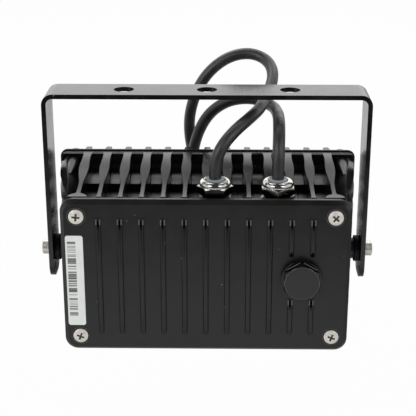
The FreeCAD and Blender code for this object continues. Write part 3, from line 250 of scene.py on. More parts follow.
def placed(tree, name, **inputs):
    """A node group put into a material with its own values."""
    node = tree.nodes.new("ShaderNodeGroup")
    node.node_tree = bpy.data.node_groups[name]
    for key, value in inputs.items():
        feed(node.inputs[key], value)
    return node.outputs


def new_material(name, **sockets):
    """A material and its Principled shader, with plain values on its sockets."""
    material = bpy.data.materials.new(name)
    material.use_nodes = True
    tree = material.node_tree
    shader = next(node for node in tree.nodes if node.type == "BSDF_PRINCIPLED")
    for key, value in sockets.items():
        shader.inputs[key.replace("_", " ")].default_value = value
    return material, tree, shader.inputs


# Effects that several materials share


def grain_group():
    """Fine grain of a coat or moulding, with slow waves under it."""
    group, given, out = new_group(
        "Grain",
        (("Fineness", 2500.0), ("Waves", 90.0), ("Wave share", 0.5)),
        (("Height", "Float"), ("Tone", "Float")),
    )
    place = add(group, "TexCoord").outputs["Object"]
    fine = add(group, "TexNoise", {"Vector": place, "Scale": given["Fineness"], "Detail": 2.0})
    slow = add(group, "TexNoise", {"Vector": place, "Scale": given["Waves"], "Detail": 1.5})
    waves = product(group, slow.outputs["Fac"], given["Wave share"])
    feed(out["Height"], maths(group, "ADD", fine.outputs["Fac"], waves))
    feed(out["Tone"], ramp(group, slow.outputs["Fac"], 0.3, 0.7))


def edge_group():
    """Rounds the look of sharp edges and says where they are, broken up as real wear is."""
    group, given, out = new_group(
        "Edge",
        (("Radius", 0.0004), ("Patchiness", 300.0)),
        (("Normal", "Vector"), ("Wear", "Float")),
    )
    soft = add(group, "Bevel", {"Radius": given["Radius"]}, samples=6).outputs["Normal"]
    plain = add(group, "NewGeometry").outputs["Normal"]
    facing = add(group, "VectorMath", {0: soft, 1: plain}, operation="DOT_PRODUCT").outputs["Value"]
    edge = ramp(group, facing, 0.995, 0.8)
    place = add(group, "TexCoord").outputs["Object"]
    patches = add(group, "TexNoise", {"Vector": place, "Scale": given["Patchiness"], "Detail": 3.0})
    broken = ramp(group, patches.outputs["Fac"], 0.42, 0.62)
    feed(out["Normal"], soft)
    feed(out["Wear"], product(group, edge, broken))


def dust_group():
    """Sparse pale specks."""
    group, given, out = new_group("Dust", (("Spacing", 700.0), ("Amount", 0.05)), (("Mask", "Float"),))
    place = add(group, "TexCoord").outputs["Object"]
    cells = add(group, "TexVoronoi", {"Vector": place, "Scale": given["Spacing"]})
    near = ramp(group, cells.outputs["Distance"], 0.28, 0.18)
    chance = add(group, "SeparateColor", {0: cells.outputs["Color"]}).outputs[0]
    kept = maths(group, "LESS_THAN", chance, given["Amount"])
    feed(out["Mask"], product(group, near, kept))


def recess_shade_group():
    """Painted shade in recesses and inner corners, darker where ambient occlusion is deeper."""
    group, given, out = new_group("Recess shade", (("Reach", 0.0015),), (("Mask", "Float"),))
    shade = add(group, "AmbientOcclusion", {"Distance": given["Reach"]}, samples=8).outputs["AO"]
    feed(out["Mask"], ramp(group, shade, 0.82, 0.5))


# Materials


def bumped(tree, sockets, height, depth, normal=None):
    """Puts a height on a shader as bump, depth in metres."""
    inputs = {"Height": height, "Distance": depth}
    if normal is not None:
        inputs["Normal"] = normal
    feed(sockets["Normal"], add(tree, "Bump", inputs).outputs["Normal"])


def grained(name, fineness, waves, **sockets):
    """A new material with the grain group in it, at a fineness and a spacing of waves."""
    material, tree, inputs = new_material(name, **sockets)
    return material, tree, inputs, placed(tree, "Grain", Fineness=fineness, Waves=waves)


def toned(tree, grain, base, low=1.0, high=1.0):
    """A colour that follows the grain's slow tone between two shares of itself."""
    first, second = (colour([share * c for c in base]) for share in (low, high))
    return blended(tree, grain["Tone"], first, second)


def finished(tree, sockets, grain, shade, rough, depth, normal=None):
    """Puts a colour, a range of roughness that follows the grain, and the grain's bump on a shader."""
    feed(sockets["Base Color"], shade)
    feed(sockets["Roughness"], ramp(tree, grain["Tone"], 0.0, 1.0, *rough))
    bumped(tree, sockets, grain["Height"], depth, normal)


def powder_coat(name, base, roughness, depth, waves, dust=0.003, edge_radius=0.15 * MM):
    """Black powder coat: grain, slow waves, rounded edges with a little wear, and dust."""
    material, tree, sockets = new_material(name)
    grain = placed(tree, "Grain", **{"Wave share": waves})
    edge = placed(tree, "Edge", Radius=edge_radius)
    specks = placed(tree, "Dust", Amount=dust)["Mask"]
    lighter = colour([3.5 * c for c in base])
    shade = blended(tree, product(tree, grain["Tone"], 0.35), colour(base), lighter)
    wear_and_highlight = blended(tree, product(tree, edge["Wear"], 0.5), shade, colour((0.09, 0.088, 0.084)))
    dusty = blended(tree, product(tree, specks, 0.6), wear_and_highlight, colour((0.34, 0.33, 0.31)))
    feed(sockets["Base Color"], dusty)
    rough = ramp(tree, grain["Tone"], 0.0, 1.0, roughness - 0.015, roughness + 0.02)
    feed(sockets["Roughness"], maths(tree, "ADD", rough, product(tree, specks, 0.3)))
    bumped(tree, sockets, grain["Height"], depth, edge["Normal"])
    return material


def steel(name, base, roughness=0.3, metallic=1.0):
    """Satin steel with fine turning marks and brownish painted shade in the recesses."""
    material, tree, sockets, grain = grained(name, 4000.0, 700.0, Metallic=metallic)
    # Painted shade: dark brown wherever ambient occlusion finds a recess.
    painted_recess_shade = product(tree, placed(tree, "Recess shade")["Mask"], 0.85)
    shade = blended(tree, painted_recess_shade, toned(tree, grain, base, low=0.82), colour((0.13, 0.085, 0.055)))
    finished(tree, sockets, grain, shade, (roughness - 0.06, roughness + 0.08), 0.02 * MM)
    return material


def hypotenuse(tree, across, up):
    """The length of two offsets at right angles."""
    return maths(tree, "SQRT", maths(tree, "ADD", product(tree, across, across), product(tree, up, up)))


def cover_screw_axes():
    """How far the cover screws' axes stand from their middle along X and Z, and that middle's height."""
    low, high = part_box("cover_screws")
    return (high.x - low.x) / 2 - SCREW_HEAD, (high.z - low.z) / 2 - SCREW_HEAD, (low.z + high.z) / 2


def crossed_steel(base):
    """Satin steel for the cover screws, with brown painted shade all over the floor of the cross."""
    material, tree, sockets, grain = grained("cover_screw_steel", 4000.0, 500.0, Metallic=0.3)
    place = axes(tree)
    reach_x, reach_z, middle_z = cover_screw_axes()
    off_x = maths(tree, "SUBTRACT", maths(tree, "ABSOLUTE", place["X"]), reach_x)
    height = maths(tree, "ABSOLUTE", maths(tree, "SUBTRACT", place["Z"], middle_z))
    off_z = maths(tree, "SUBTRACT", height, reach_z)
    inside = maths(tree, "LESS_THAN", hypotenuse(tree, off_x, off_z), 2.6 * MM)
    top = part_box("cover_screws")[0].y
    deep = ramp(tree, place["Y"], top + 0.4 * MM, top + 0.7 * MM)
    # Painted shade: dark brown over the floor of each cross recess.
    painted_recess_shade = product(tree, inside, deep, 0.93)
    shade = blended(tree, painted_recess_shade, toned(tree, grain, base, low=0.92), colour((0.07, 0.045, 0.035)))
    finished(tree, sockets, grain, shade, (0.34, 0.46), 0.02 * MM)
    return material


def plating(name, base):
    """Bright nickel plating with soft edges, with painted shade in its recesses and low on the nuts."""
    material, tree, sockets, grain = grained(name, 1800.0, 260.0, Metallic=1.0)
    edge = placed(tree, "Edge", Radius=0.0005)
    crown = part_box("supply_gland_nut")[1].z
    # Painted shade: near black in the recesses and low on the nuts and the bodies below them.
    painted_low_shade = ramp(tree, axes(tree)["Z"], crown - 2.7 * MM, crown - 4.0 * MM, 0.0, 0.88)
    dark = maths(tree, "MAXIMUM", placed(tree, "Recess shade", Reach=0.007)["Mask"], painted_low_shade)
    bright = toned(tree, grain, base, high=0.85)
    shade = blended(tree, product(tree, dark, 0.93), bright, colour((0.03, 0.025, 0.02)))
    finished(tree, sockets, grain, shade, (0.1, 0.2), 0.01 * MM, edge["Normal"])
    return material


def moulded(name, base, roughness, sheen=0.5):
    """A plain finish with fine grain, such as nylon, rubber or lacquer."""
    material, tree, sockets, grain = grained(name, 1500.0, 150.0, Specular_IOR_Level=sheen)
    shade = toned(tree, grain, base, high=1.1)
    finished(tree, sockets, grain, shade, (roughness - 0.05, roughness + 0.06), 0.03 * MM)
    return material


def plug_nylon():
    """Black nylon: its outer face keeps a paler tone, and its flats, chamfer and flange are painted near
    black as painted shade.
    """
    material, tree, sockets, grain = grained("breather_nylon", 1500.0, 150.0)
    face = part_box("vent_plug")[0].y
    # Painted shade: all of the plug behind its outer face takes a near-black nylon.
    lit_pale = ramp(tree, axes(tree)["Y"], face + 0.12 * MM, face + 0.02 * MM)
    black = toned(tree, grain, (0.003, 0.003, 0.003), high=4 / 3)
    feed(sockets["Base Color"], blended(tree, lit_pale, black, colour((0.016, 0.016, 0.016))))
    feed(sockets["Roughness"], ramp(tree, lit_pale, 0.0, 1.0, 0.22, 0.36))
    bumped(tree, sockets, grain["Height"], 0.03 * MM)
    return material


def sheath_rubber(base):
    """Lead sheath: satin black with pale scuffs."""
    material, tree, sockets, grain = grained("lead_sheath", 900.0, 110.0, Specular_IOR_Level=1.0)
    place = add(tree, "TexCoord").outputs["Object"]
    scratch = add(tree, "TexNoise", {"Vector": place, "Scale": 420.0, "Detail": 4.0, "Roughness": 0.7})
    scuffs = product(tree, ramp(tree, scratch.outputs["Fac"], 0.6, 0.75), 0.35)
    shade = blended(tree, scuffs, toned(tree, grain, base, high=1.5), colour((0.13, 0.15, 0.17)))
    finished(tree, sockets, grain, shade, (0.4, 0.48), 0.03 * MM)
    return material


def label_film(base):
    """White film with generic plain bars on its left half."""
    material, tree, sockets, grain = grained("label_film", 1200.0, 120.0)
    low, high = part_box("cover_label")
    width = high.x - low.x
    place = axes(tree)
    row_height = 0.42 * MM
    bare_share = 0.42
    rows = maths(tree, "FLOOR", product(tree, place["Z"], 1 / row_height))
    chance = add(tree, "TexWhiteNoise", {"W": rows}, noise_dimensions="1D").outputs["Value"]
    ink = maths(tree, "GREATER_THAN", chance, bare_share)
    depth = ramp(tree, chance, bare_share, 1.0, 0.55, 0.95)
    left = maths(tree, "GREATER_THAN", place["X"], low.x + 0.1 * width)
    right = maths(tree, "LESS_THAN", place["X"], low.x + 0.58 * width)
    foot = maths(tree, "GREATER_THAN", place["Z"], low.z + 5.6 * MM)
    head = maths(tree, "LESS_THAN", place["Z"], high.z - 3.3 * MM)
    bars = product(tree, ink, depth, left, right, foot, head)
    shade = blended(tree, bars, toned(tree, grain, base, high=0.93), colour((0.03, 0.03, 0.032)))
    finished(tree, sockets, grain, shade, (0.32, 0.42), 0.02 * MM)
    return material


def clear_glass(name, tint):
    """Clear glass with a faint tint."""
    clear = {"Roughness": 0.02, "Transmission_Weight": 1.0, "IOR": 1.46}
    material, tree, sockets, grain = grained(name, 40.0, 12.0, **clear)
    feed(sockets["Base Color"], blended(tree, grain["Tone"], colour(tint), colour((0.97, 0.98, 0.975))))
    return material


def off_nearest(tree, place, pitch):
    """How far a coordinate is from the nearest multiple of a pitch."""
    count = maths(tree, "DIVIDE", place, pitch)
    return product(tree, maths(tree, "SUBTRACT", count, maths(tree, "ROUND", count)), pitch)


def led_packages():
    """White packages with a round yellow phosphor field in the middle of each."""
    material, tree, sockets, grain = grained("led_phosphor", 6000.0, 900.0)
    place = axes(tree)
    height = maths(tree, "SUBTRACT", place["Z"], PIVOT.z + LED_PITCH_Z / 2)
    off_x = off_nearest(tree, place["X"], LED_PITCH_X)
    off_z = off_nearest(tree, height, LED_PITCH_Z)
    field = ramp(tree, hypotenuse(tree, off_x, off_z), 1.25 * MM, 1.15 * MM)
    phosphor = blended(tree, grain["Tone"], colour((0.85, 0.6, 0.05)), colour((0.9, 0.7, 0.12)))
    feed(sockets["Base Color"], blended(tree, field, colour((0.8, 0.8, 0.77)), phosphor))
    feed(sockets["Roughness"], ramp(tree, field, 0.0, 1.0, 0.35, 0.2))
    bumped(tree, sockets, field, -0.12 * MM)
    return material


# Putting finishes and pieces on


def dress(material, *nodes):
    """Gives a material to nodes of the frame."""
    for node in nodes:
        piece = frame["nodes"][node]
        if not piece.material_slots:
            piece.data.materials.append(material)
        for slot in piece.material_slots:
            slot.material = material


def linked(name, data):
    """An object in the scene."""
    made = bpy.data.objects.new(name, data)
    bpy.context.scene.collection.objects.link(made)
    return made


def new_piece(name, data, material, body="lamp"):
    """A piece of the object that rides on a body."""
    piece = linked(name, data)
    data.materials.append(material)
    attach(piece, body)
    return piece


def meshed(name, form):
    """A mesh from a bmesh form, smooth apart from its sharp edges."""
    bmesh.ops.recalc_face_normals(form, faces=form.faces)
    for face in form.faces:
        face.smooth = True
    for edge in form.edges:
        edge.smooth = edge.is_manifold and edge.calc_face_angle() < math.radians(32)
    mesh = bpy.data.meshes.new(name)
    form.to_mesh(mesh)
    form.free()
    return mesh


def new_form(name, shape, material, slot, *values):
    """A piece whose mesh comes from a function that fills a form."""
    form = bmesh.new()
    shape(form, *values)
    return new_piece(name, meshed(name, form), material)


def smooth_line(name, points, diameter):
    """A round tube on one smooth spline through the room that its points give."""
    curve = bpy.data.curves.new(name, "CURVE")
    curve.dimensions = "3D"
    curve.resolution_u = 12
    curve.bevel_depth = diameter / 2
    curve.bevel_resolution = 6
    curve.use_fill_caps = True
    spline = curve.splines.new("NURBS")
    spline.points.add(len(points) - 1)
    for control, place in zip(spline.points, points):
        control.co = (*place, 1.0)
    spline.order_u = 3
    spline.use_endpoint_u = True
    return curve


def skinned(form, rings, closed=False):
    """Closes a form over rings of points, with a point at either end or with its last ring on its first."""
    made = [[form.verts.new(p) for p in ring] for ring in rings]
    if closed:
        made.append(made[0])
    for first, second in zip(made, made[1:]):
        if len(first) == 1 or len(second) == 1:
            single, ring = (first[0], second) if len(first) == 1 else (second[0], first)
            for k, point in enumerate(ring):
                form.faces.new((single, point, ring[(k + 1) % len(ring)]))
            continue
        for k, point in enumerate(first):
            after = (k + 1) % len(first)
            form.faces.new((point, first[after], second[after], second[k]))


def turned(form, stations, count, put, closed=False):
    """A turned form: each station is a depth and a radius, which may be a function of the angle."""
    rings = []
    for depth, radius in stations:
        if radius == 0:
            rings.append([put(depth, 0.0, 0.0)])
            continue
        ring = []
        for k in range(count):
            angle = 2 * math.pi * k / count
            reach = radius(angle) if callable(radius) else radius
            ring.append(put(depth, reach * math.cos(angle), reach * math.sin(angle)))
        rings.append(ring)
    skinned(form, rings, closed)


def hexagon_radius(angle, across):
    """How far a hexagon's side is from its middle, at an angle."""
    sixth = math.pi / 3
    return across / 2 / math.cos((angle + sixth / 2) % sixth - sixth / 2)


def capped(form, rings):
    """Closes a form over rings of points, with a point in the middle of the first and of the last."""
    first, last = ([sum(ring, Vector()) / len(ring)] for ring in (rings[0], rings[-1]))
    skinned(form, [first, *rings, last])


def about_x(side, z):
    """Places a turned form on a line along X, on one side of the lamp."""
    return lambda x, a, b: Vector((side * x, a, z + b))


def about_y(x, z):
    """Places a turned form on a line along Y."""
    return lambda y, a, b: Vector((x + a, y, z + b))


# Casting


FIN_PITCH = 11.3 * MM
CREST_RIM = 51.0 * MM
CREST_DROP = 7.3 * MM
BODY_DEPTH = 54.7 * MM
RIM_REAR = 17.0 * MM
BOX_TOP = 34.2 * MM

# Ribs of the cover and the fins in line with them, counted from the middle one
RIBS = range(-5, 6)

# Fins above the box that give way to the glands
GLAND_FINS = (0, 1, 3, 4)

# How far the field of fins and the rim reach to either side, in millimetres
FIELD_HALF = 67
RIM_HALF = 82


def crest(depth):
    """How high a fin's crest is at a distance from the rim: two arcs, level at both ends."""
    half = BODY_DEPTH / 2
    radius = (half**2 + (CREST_DROP / 2) ** 2) / CREST_DROP
    if depth < half:
        return CREST_RIM - radius + math.sqrt(radius**2 - depth**2)
    return CREST_RIM - CREST_DROP + radius - math.sqrt(radius**2 - (BODY_DEPTH - depth) ** 2)


def fin_ring(k, up, depth, outline):
    """A ring of points across a fin, at a distance behind the rim; its outline is counted from the pivot."""
    return [PIVOT + Vector((k * FIN_PITCH + x, RIM_REAR - depth, up * z)) for x, z in outline]


def fin_necks(form):
    """The flat-topped necks of the fins, with a small flare or a round pad at the box's mouth."""
    waist = ((27.0, 2.7), (30.0, 2.5), (34.0, 2.3), (40.0, 2.2), (47.0, 2.2))
    flare = ((51.5, 2.3), (53.2, 2.7), (54.6, 3.3))
    pad_end = 54.65
    pad_radius = 5.2
    backs = (5.0, 4.6, 4.0, 3.2, 2.2, 1.1, 0.05)
    pad = [(pad_end - back, 2 * math.sqrt(pad_radius**2 - back**2)) for back in backs]
    bevel = 0.15 * MM
    for up in (-1, 1):
        for k in range(-6, 7):
            if up == 1 and k in GLAND_FINS:
                continue
            rings = []
            for distance, width in (*waist, *(flare if abs(k) < 6 else pad)):
                depth = distance * MM
                half = width * MM / 2
                top = crest(depth) + 0.04 * MM
                outline = (
                    (-half, BOX_TOP),
                    (-half, top - bevel),
                    (-half + bevel, top),
                    (half - bevel, top),
                    (half, top - bevel),
                    (half, BOX_TOP),
                )
                rings.append(fin_ring(k, up, depth, outline))
            capped(form, rings)


def fin_feet(form):
    """The draft at the fins' feet, steep and widest on the ledge; its near-black coat is painted shade."""
    low, high = 39.6 * MM, 46.5 * MM
    for up in (-1, 1):
        for k in RIBS:
            rings = []
            for distance, width in ((8.0, 4.2), (14.0, 4.2), (19.0, 3.6), (23.3, 3.0)):
                foot = (width / 2 + 1.5) * MM
                top = (width / 2 - 0.3) * MM
                outline = ((-foot, low), (-top, high), (top, high), (foot, low))
                rings.append(fin_ring(k, up, distance * MM, outline))
            capped(form, rings)


def strip(form, outline, left, right, sides=(-1, 1)):
    """A bar along X with the same outline all along, above, below or both; all in millimetres."""
    for up in sides:
        capped(form, [[PIVOT + Vector((x, y, up * z)) * MM for y, z in outline] for x in (left, right)])


def painted_shade_gaps(form):
    """Thin near-black strips, painted shade over the box's top and bottom between the fins, clear of the
    glands.
    """
    fillet = ((-12.5, 34.2), (-9.6, 35.6), (-7.6, 37.6), (-6.2, 39.6))
    outline = ((-37.4, 33.9), (-37.4, 34.2), *fillet, (-6.2, 33.9))
    strip(form, outline, -FIELD_HALF, FIELD_HALF, (-1,))
    for left, right in ((-FIELD_HALF, -7.5), (16.8, 25.8), (50.2, FIELD_HALF)):
        strip(form, outline, left, right, (1,))


def ledge_slopes(form):
    """The ledge's crowned upper edge between the fins."""
    steps = 10
    shares = [k / steps for k in range(steps + 1)]
    crown = [(-6.1 + 12.0 * share, 40.02 + 2.5 * (1 - (1 - share) ** 2)) for share in shares]
    strip(form, [(-6.1, 39.5), *crown, (5.9, 39.5)], -FIELD_HALF, FIELD_HALF)


def rim_lips(form):
    """The sloping lip along the back of the rim."""
    strip(form, [(17.05, 50.97), (15.9, 50.45), (15.8, 50.1), (17.05, 49.6)], -RIM_HALF, RIM_HALF)


# Rear cover


# How far a rib reaches up and down, how far two ribs stay clear of the plug, in millimetres, and those two
RIB_HALF = 33.4
PLUG_GAP = 12.2
PLUG_RIBS = (4, 5)

# Width of the plug across its flats
PLUG_ACROSS = 18.4 * MM


def bead_outline(half, low, high):
    """A slot's outline, with round ends."""
    points = []
    for middle, start in ((high - half, 0.0), (low + half, math.pi)):
        for k in range(11):
            angle = start + math.pi * k / 10
            points.append((half * math.cos(angle), middle + half * math.sin(angle)))
    return points


def bead_rings(x, low, high, layers):
    """Rings of a bead on the cover, from each layer's height, half width and how far its ends draw in."""
    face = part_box("cover_label")[1].y
    rings = []
    for raised, half, foot, head in layers:
        outline = bead_outline(half * MM, (low + foot) * MM, (high - head) * MM)
        rings.append([Vector((x + a, face - raised * MM, PIVOT.z + b)) for a, b in outline])
    return rings


def rib_beads(form):
    """The cover's ribs as beads with wide flanks, their upper ends drawn out to a slope."""
    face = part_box("cover_label")[1].y
    layers = ((0.0, 1.48, 0.0, 0.0), (0.7, 1.15, 0.4, 1.3), (0.92, 0.85, 0.8, 2.4))
    whole = ((-RIB_HALF, RIB_HALF),)
    parted = ((-RIB_HALF, -PLUG_GAP), (PLUG_GAP, RIB_HALF))
    for k in RIBS:
        x = k * FIN_PITCH
        for low, high in parted if k in PLUG_RIBS else whole:
            middle = PIVOT.z + (low + high) / 2 * MM
            under, top = ([Vector((x, face - raised * MM, middle))] for raised in (-0.1, 0.93))
            skinned(form, [under, *bead_rings(x, low, high, layers), top])


def rib_highlight_strokes(form):
    """Two pale strokes at each rib's upper end, painted highlights where the rib's end catches the light."""
    length = 3.3
    off = 0.95 * MM
    layers = ((-0.1, 0.42, 0.0, 0.0), (0.9, 0.4, 0.1, 0.1), (1.08, 0.25, 0.5, 0.3))
    for k in RIBS:
        for high in (RIB_HALF, -PLUG_GAP) if k in PLUG_RIBS else (RIB_HALF,):
            for x in (k * FIN_PITCH - off, k * FIN_PITCH + off):
                capped(form, bead_rings(x, high - length, high, layers))


def screw_seat_rings(form, stations):
    """A thin ring round each cover screw, from depths and radii in millimetres."""
    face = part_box("cover_label")[1].y
    reach_x, reach_z, middle_z = cover_screw_axes()
    spots = [(face + depth * MM, radius * MM) for depth, radius in stations]
    for side in (-1, 1):
        for up in (-1, 1):
            turned(form, spots, 48, about_y(side * reach_x, middle_z + up * reach_z), closed=True)


def rib_shade_darts(form):
    """Near-black painted shade between the strokes, drawn down to a point, and a flatter mark of painted
    shade above the plug.
    """
    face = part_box("cover_label")[1].y
    points = ((-0.52, -0.9), (0.52, -0.9), (0.62, -3.4), (0.0, -6.0), (-0.62, -3.4))
    dart = (1.0, 1.0)
    flat_shade_mark = (1.6, -0.55)
    for k in RIBS:
        spots = [(RIB_HALF, dart)]
        if k in PLUG_RIBS:
            spots += [(-PLUG_GAP, dart), (PLUG_GAP, flat_shade_mark)]
        for high, (wide, tall) in spots:
            outline = [(k * FIN_PITCH + wide * a * MM, PIVOT.z + (high + tall * b) * MM) for a, b in points]
            rings = [[Vector((x, face - raised * MM, z)) for x, z in outline] for raised in (0.9, 1.05)]
            capped(form, rings)


def plug_highlight_lines(form):
    """Pale lines painted as highlights on the plug's two upper flats and round its face."""
    low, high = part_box("vent_plug")
    middle = (low + high) / 2
    profile = ((4.0, -0.3), (4.0, 0.1), (4.3, 0.25), (4.6, 0.1), (4.6, -0.3))
    for turn in (math.pi / 3, 2 * math.pi / 3):
        out = Vector((math.cos(turn), 0, math.sin(turn)))
        along = Vector((-out.z, 0, out.x))
        rings = []
        for reach in (-4.1, 4.1):
            start = Vector((middle.x, low.y, middle.z)) + along * (reach * MM) + out * (PLUG_ACROSS / 2)
            rings.append([start + (out * raised + Vector((0, depth, 0))) * MM for depth, raised in profile])
        capped(form, rings)
    rim = ((0.3, 8.95), (0.01, 9.05), (0.06, 9.24), (0.5, 9.3))
    spots = [(low.y + depth * MM, radius * MM) for depth, radius in rim]
    turned(form, spots, 96, about_y(middle.x, middle.z), closed=True)


def breather_plug(form):
    """The breather plug: a round face, six flats cut back to it, a flange and a bored stem."""
    low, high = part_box("vent_plug")
    middle = (low + high) / 2
    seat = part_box("vent_plug_seal")[0].y
    foot = seat - 1.8 * MM
    corner = PLUG_ACROSS / math.sqrt(3)
    face = 9.1 * MM
    bevel = 1.4 * MM
    flange = (high.x - low.x) / 2
    stem = 6.0 * MM
    bore = 2.5 * MM

    def cut_back(depth):
        limit = face + (corner - face) * depth / bevel
        return lambda angle: min(hexagon_radius(angle, PLUG_ACROSS), limit)

    stations = [(low.y, 0)]
    stations += [(low.y + bevel * k / 5, cut_back(bevel * k / 5)) for k in range(6)]
    stations += [
        (foot, cut_back(bevel)),
        (foot, flange - 0.3 * MM),
        (foot + 0.3 * MM, flange),
        (seat - 0.2 * MM, flange),
        (seat, flange - 0.2 * MM),
        (seat, stem),
        (high.y, stem),
        (high.y, bore),
        (foot + MM, bore),
        (foot + MM, 0),
    ]
    turned(form, stations, 96, about_y(middle.x, middle.z))


# Leads


def strand_tip(form, start, along, diameter, length):
    """A stripped tip: seven twisted strands as one fluted bar."""
    across = along.orthogonal().normalized()
    beside = along.cross(across)
    count = 42
    stations = 9
    strands = 7
    rings = [[start]]
    for step in range(stations):
        share = step / (stations - 1)
        ring = []
        for k in range(count):
            angle = 2 * math.pi * k / count
            flute = abs(math.sin(strands / 2 * (angle + 2.2 * share)))
            radius = diameter / 2 * (0.82 + 0.18 * flute)
            off = across * math.cos(angle) + beside * math.sin(angle)
            ring.append(start + along * (share * length) + off * radius)
        rings.append(ring)
    rings.append([start + along * length])
    skinned(form, rings)


def bare_cores(side, route, sizes, copper):
    """Three insulated cores out of the cut sheath, each with its stripped tip."""
    insulations = (
        ("brown", (0.16, 0.06, 0.025)),
        ("blue", (0.02, 0.12, 0.42)),
        ("earth", (0.35, 0.42, 0.03)),
    )
    end = route[-1]
    along = (end - route[-2]).normalized()
    lay = Vector((0, 0, -1)).rotation_difference(along)
    pieces = []
    tips = bmesh.new()
    for (shade, base), angle in zip(insulations, (210, 90, -30)):
        turn = math.radians(angle)
        off = lay @ Vector((math.cos(turn), math.sin(turn), 0)) * (sizes.core_circle / 2)
        root = end + off
        straight = root + along * sizes.core_straight
        tip = root + off * sizes.core_splay + along * sizes.core_length
        name = side + "_core_" + shade
        material = bpy.data.materials.get("core_" + shade) or moulded("core_" + shade, base, 0.35)
        line = smooth_line(name, (root, straight, tip), sizes.core_diameter)
        pieces.append(new_piece(name, line, material))
        strand_tip(tips, tip, (tip - straight).normalized(), sizes.strand_diameter, sizes.strand_length)
    name = side + "_core_tips"
    pieces.append(new_piece(name, meshed(name, tips), copper))
    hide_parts(side + "_lead_cores")
    return pieces


def lead(side, points, sizes, rubber, copper):
    """One lead with its bared cores."""
    route = [PIVOT + Vector(p) * MM for p in points]
    cores = bare_cores(side, route, sizes, copper)
    name = side + "_lead_sheath"
    sheath = new_piece(name, smooth_line(name, route, sizes.diameter), rubber)
    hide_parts(side + "_lead")


# Pivot screws


def stepped_spacers(form):
    """Both pivot spacers: a wide washer against the leg and a narrower neck against the casting."""
    low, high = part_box("pivot_spacers")
    bore = 2.75 * MM
    neck = 5.8 * MM
    wide = 7.4 * MM
    bevel = 0.2 * MM
    outer = high.x
    inner = outer - 3.85 * MM
    step = inner + 1.1 * MM
    stations = (
        (inner, bore),
        (inner, neck),
        (step, neck),
        (step, wide - bevel),
        (step + bevel, wide),
        (outer - bevel, wide),
        (outer, wide - bevel),
        (outer, bore),
    )
    for side in (-1, 1):
        turned(form, stations, 64, about_x(side, (low.z + high.z) / 2), closed=True)


def pivot_screws(form, sizes):
    """Both socket cap screws along X, their heads knurled and their tips pointing inwards."""
    low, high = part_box("pivot_screws")
    top = high.x
    head = (high.z - low.z) / 2
    shank = sizes.shank_diameter / 2
    seat = top - sizes.head_height
    thread = 18 * MM
    inner = min(-low.x, high.x) - (sizes.head_height + thread)
    bevel = 0.4 * MM

    def knurled(angle):
        return head - sizes.knurl_depth * abs(math.sin(sizes.knurl_count * angle / 2))

    def socket(angle):
        return hexagon_radius(angle, sizes.socket_across)

    stations = (
        (inner, 0),
        (inner, shank - 0.5 * MM),
        (inner + 0.5 * MM, shank),
        (seat, shank),
        (seat, head - bevel),
        (seat + bevel, knurled),
        (top - 2 * bevel, knurled),
        (top - bevel, head - sizes.knurl_depth),
        (top, head - 2 * bevel),
        (top, lambda angle: socket(angle) + 0.15 * MM),
        (top - 0.15 * MM, socket),
        (top - sizes.socket_depth, socket),
        (top - sizes.socket_depth - 0.4 * MM, 0),
    )
    for side in (-1, 1):
        turned(form, stations, 4 * sizes.knurl_count, about_x(side, (low.z + high.z) / 2))


# Stage


# What every light is aimed at
LIT_MIDDLE = Vector((0.0, 0.0, -0.09))


def softbox(name, place, width, height, radiance):
    """A soft rectangular light aimed at the lamp, hidden from the camera."""
    light = bpy.data.lights.new(name, "AREA")
    light.shape = "RECTANGLE"
    light.size = width
    light.size_y = height
    light.energy = radiance * math.pi * width * height
    box = linked(name, light)
    box.location = place
    box.rotation_mode = "QUATERNION"
    box.rotation_quaternion = (LIT_MIDDLE - box.location).to_track_quat("-Z", "Y")
    box.visible_camera = False


def direct_view(tree, rays):
    """One for what the camera sees directly or through glass."""
    return maths(tree, "MAXIMUM", rays["Is Camera Ray"], rays["Is Transmission Ray"])


def studio_world():
    """White for the camera, plain light for the rest, and a low backdrop under a dark ceiling in gloss."""
    world = bpy.data.worlds.new("studio")
    bpy.context.scene.world = world
    world.use_nodes = True
    tree = world.node_tree
    way = add(tree, "SeparateXYZ", {0: add(tree, "TexCoord").outputs["Generated"]}).outputs
    rays = add(tree, "LightPath").outputs
    behind = ramp(tree, way["Y"], 0.1, 0.6)
    low = ramp(tree, way["Z"], 0.93, 0.62)
    backdrop = product(tree, behind, low)
    sideways = ramp(tree, maths(tree, "ABSOLUTE", way["X"]), 0.55, 0.8, 0.05, 0.75)
    beside = product(tree, sideways, ramp(tree, way["Z"], 0.8, 0.5))
    mirrored = maths(tree, "MAXIMUM", maths(tree, "MAXIMUM", backdrop, beside), 0.04)
    plain = product(tree, maths(tree, "SUBTRACT", 1.0, rays["Is Glossy Ray"]), 0.55)
    lit = maths(tree, "ADD", plain, product(tree, mirrored, rays["Is Glossy Ray"]))
    background = next(node for node in tree.nodes if node.type == "BACKGROUND")
    feed(background.inputs["Color"], colour((1.0, 1.0, 1.0)))
    feed(background.inputs["Strength"], maths(tree, "MAXIMUM", lit, direct_view(tree, rays)))
    world.cycles.sampling_method = "NONE"


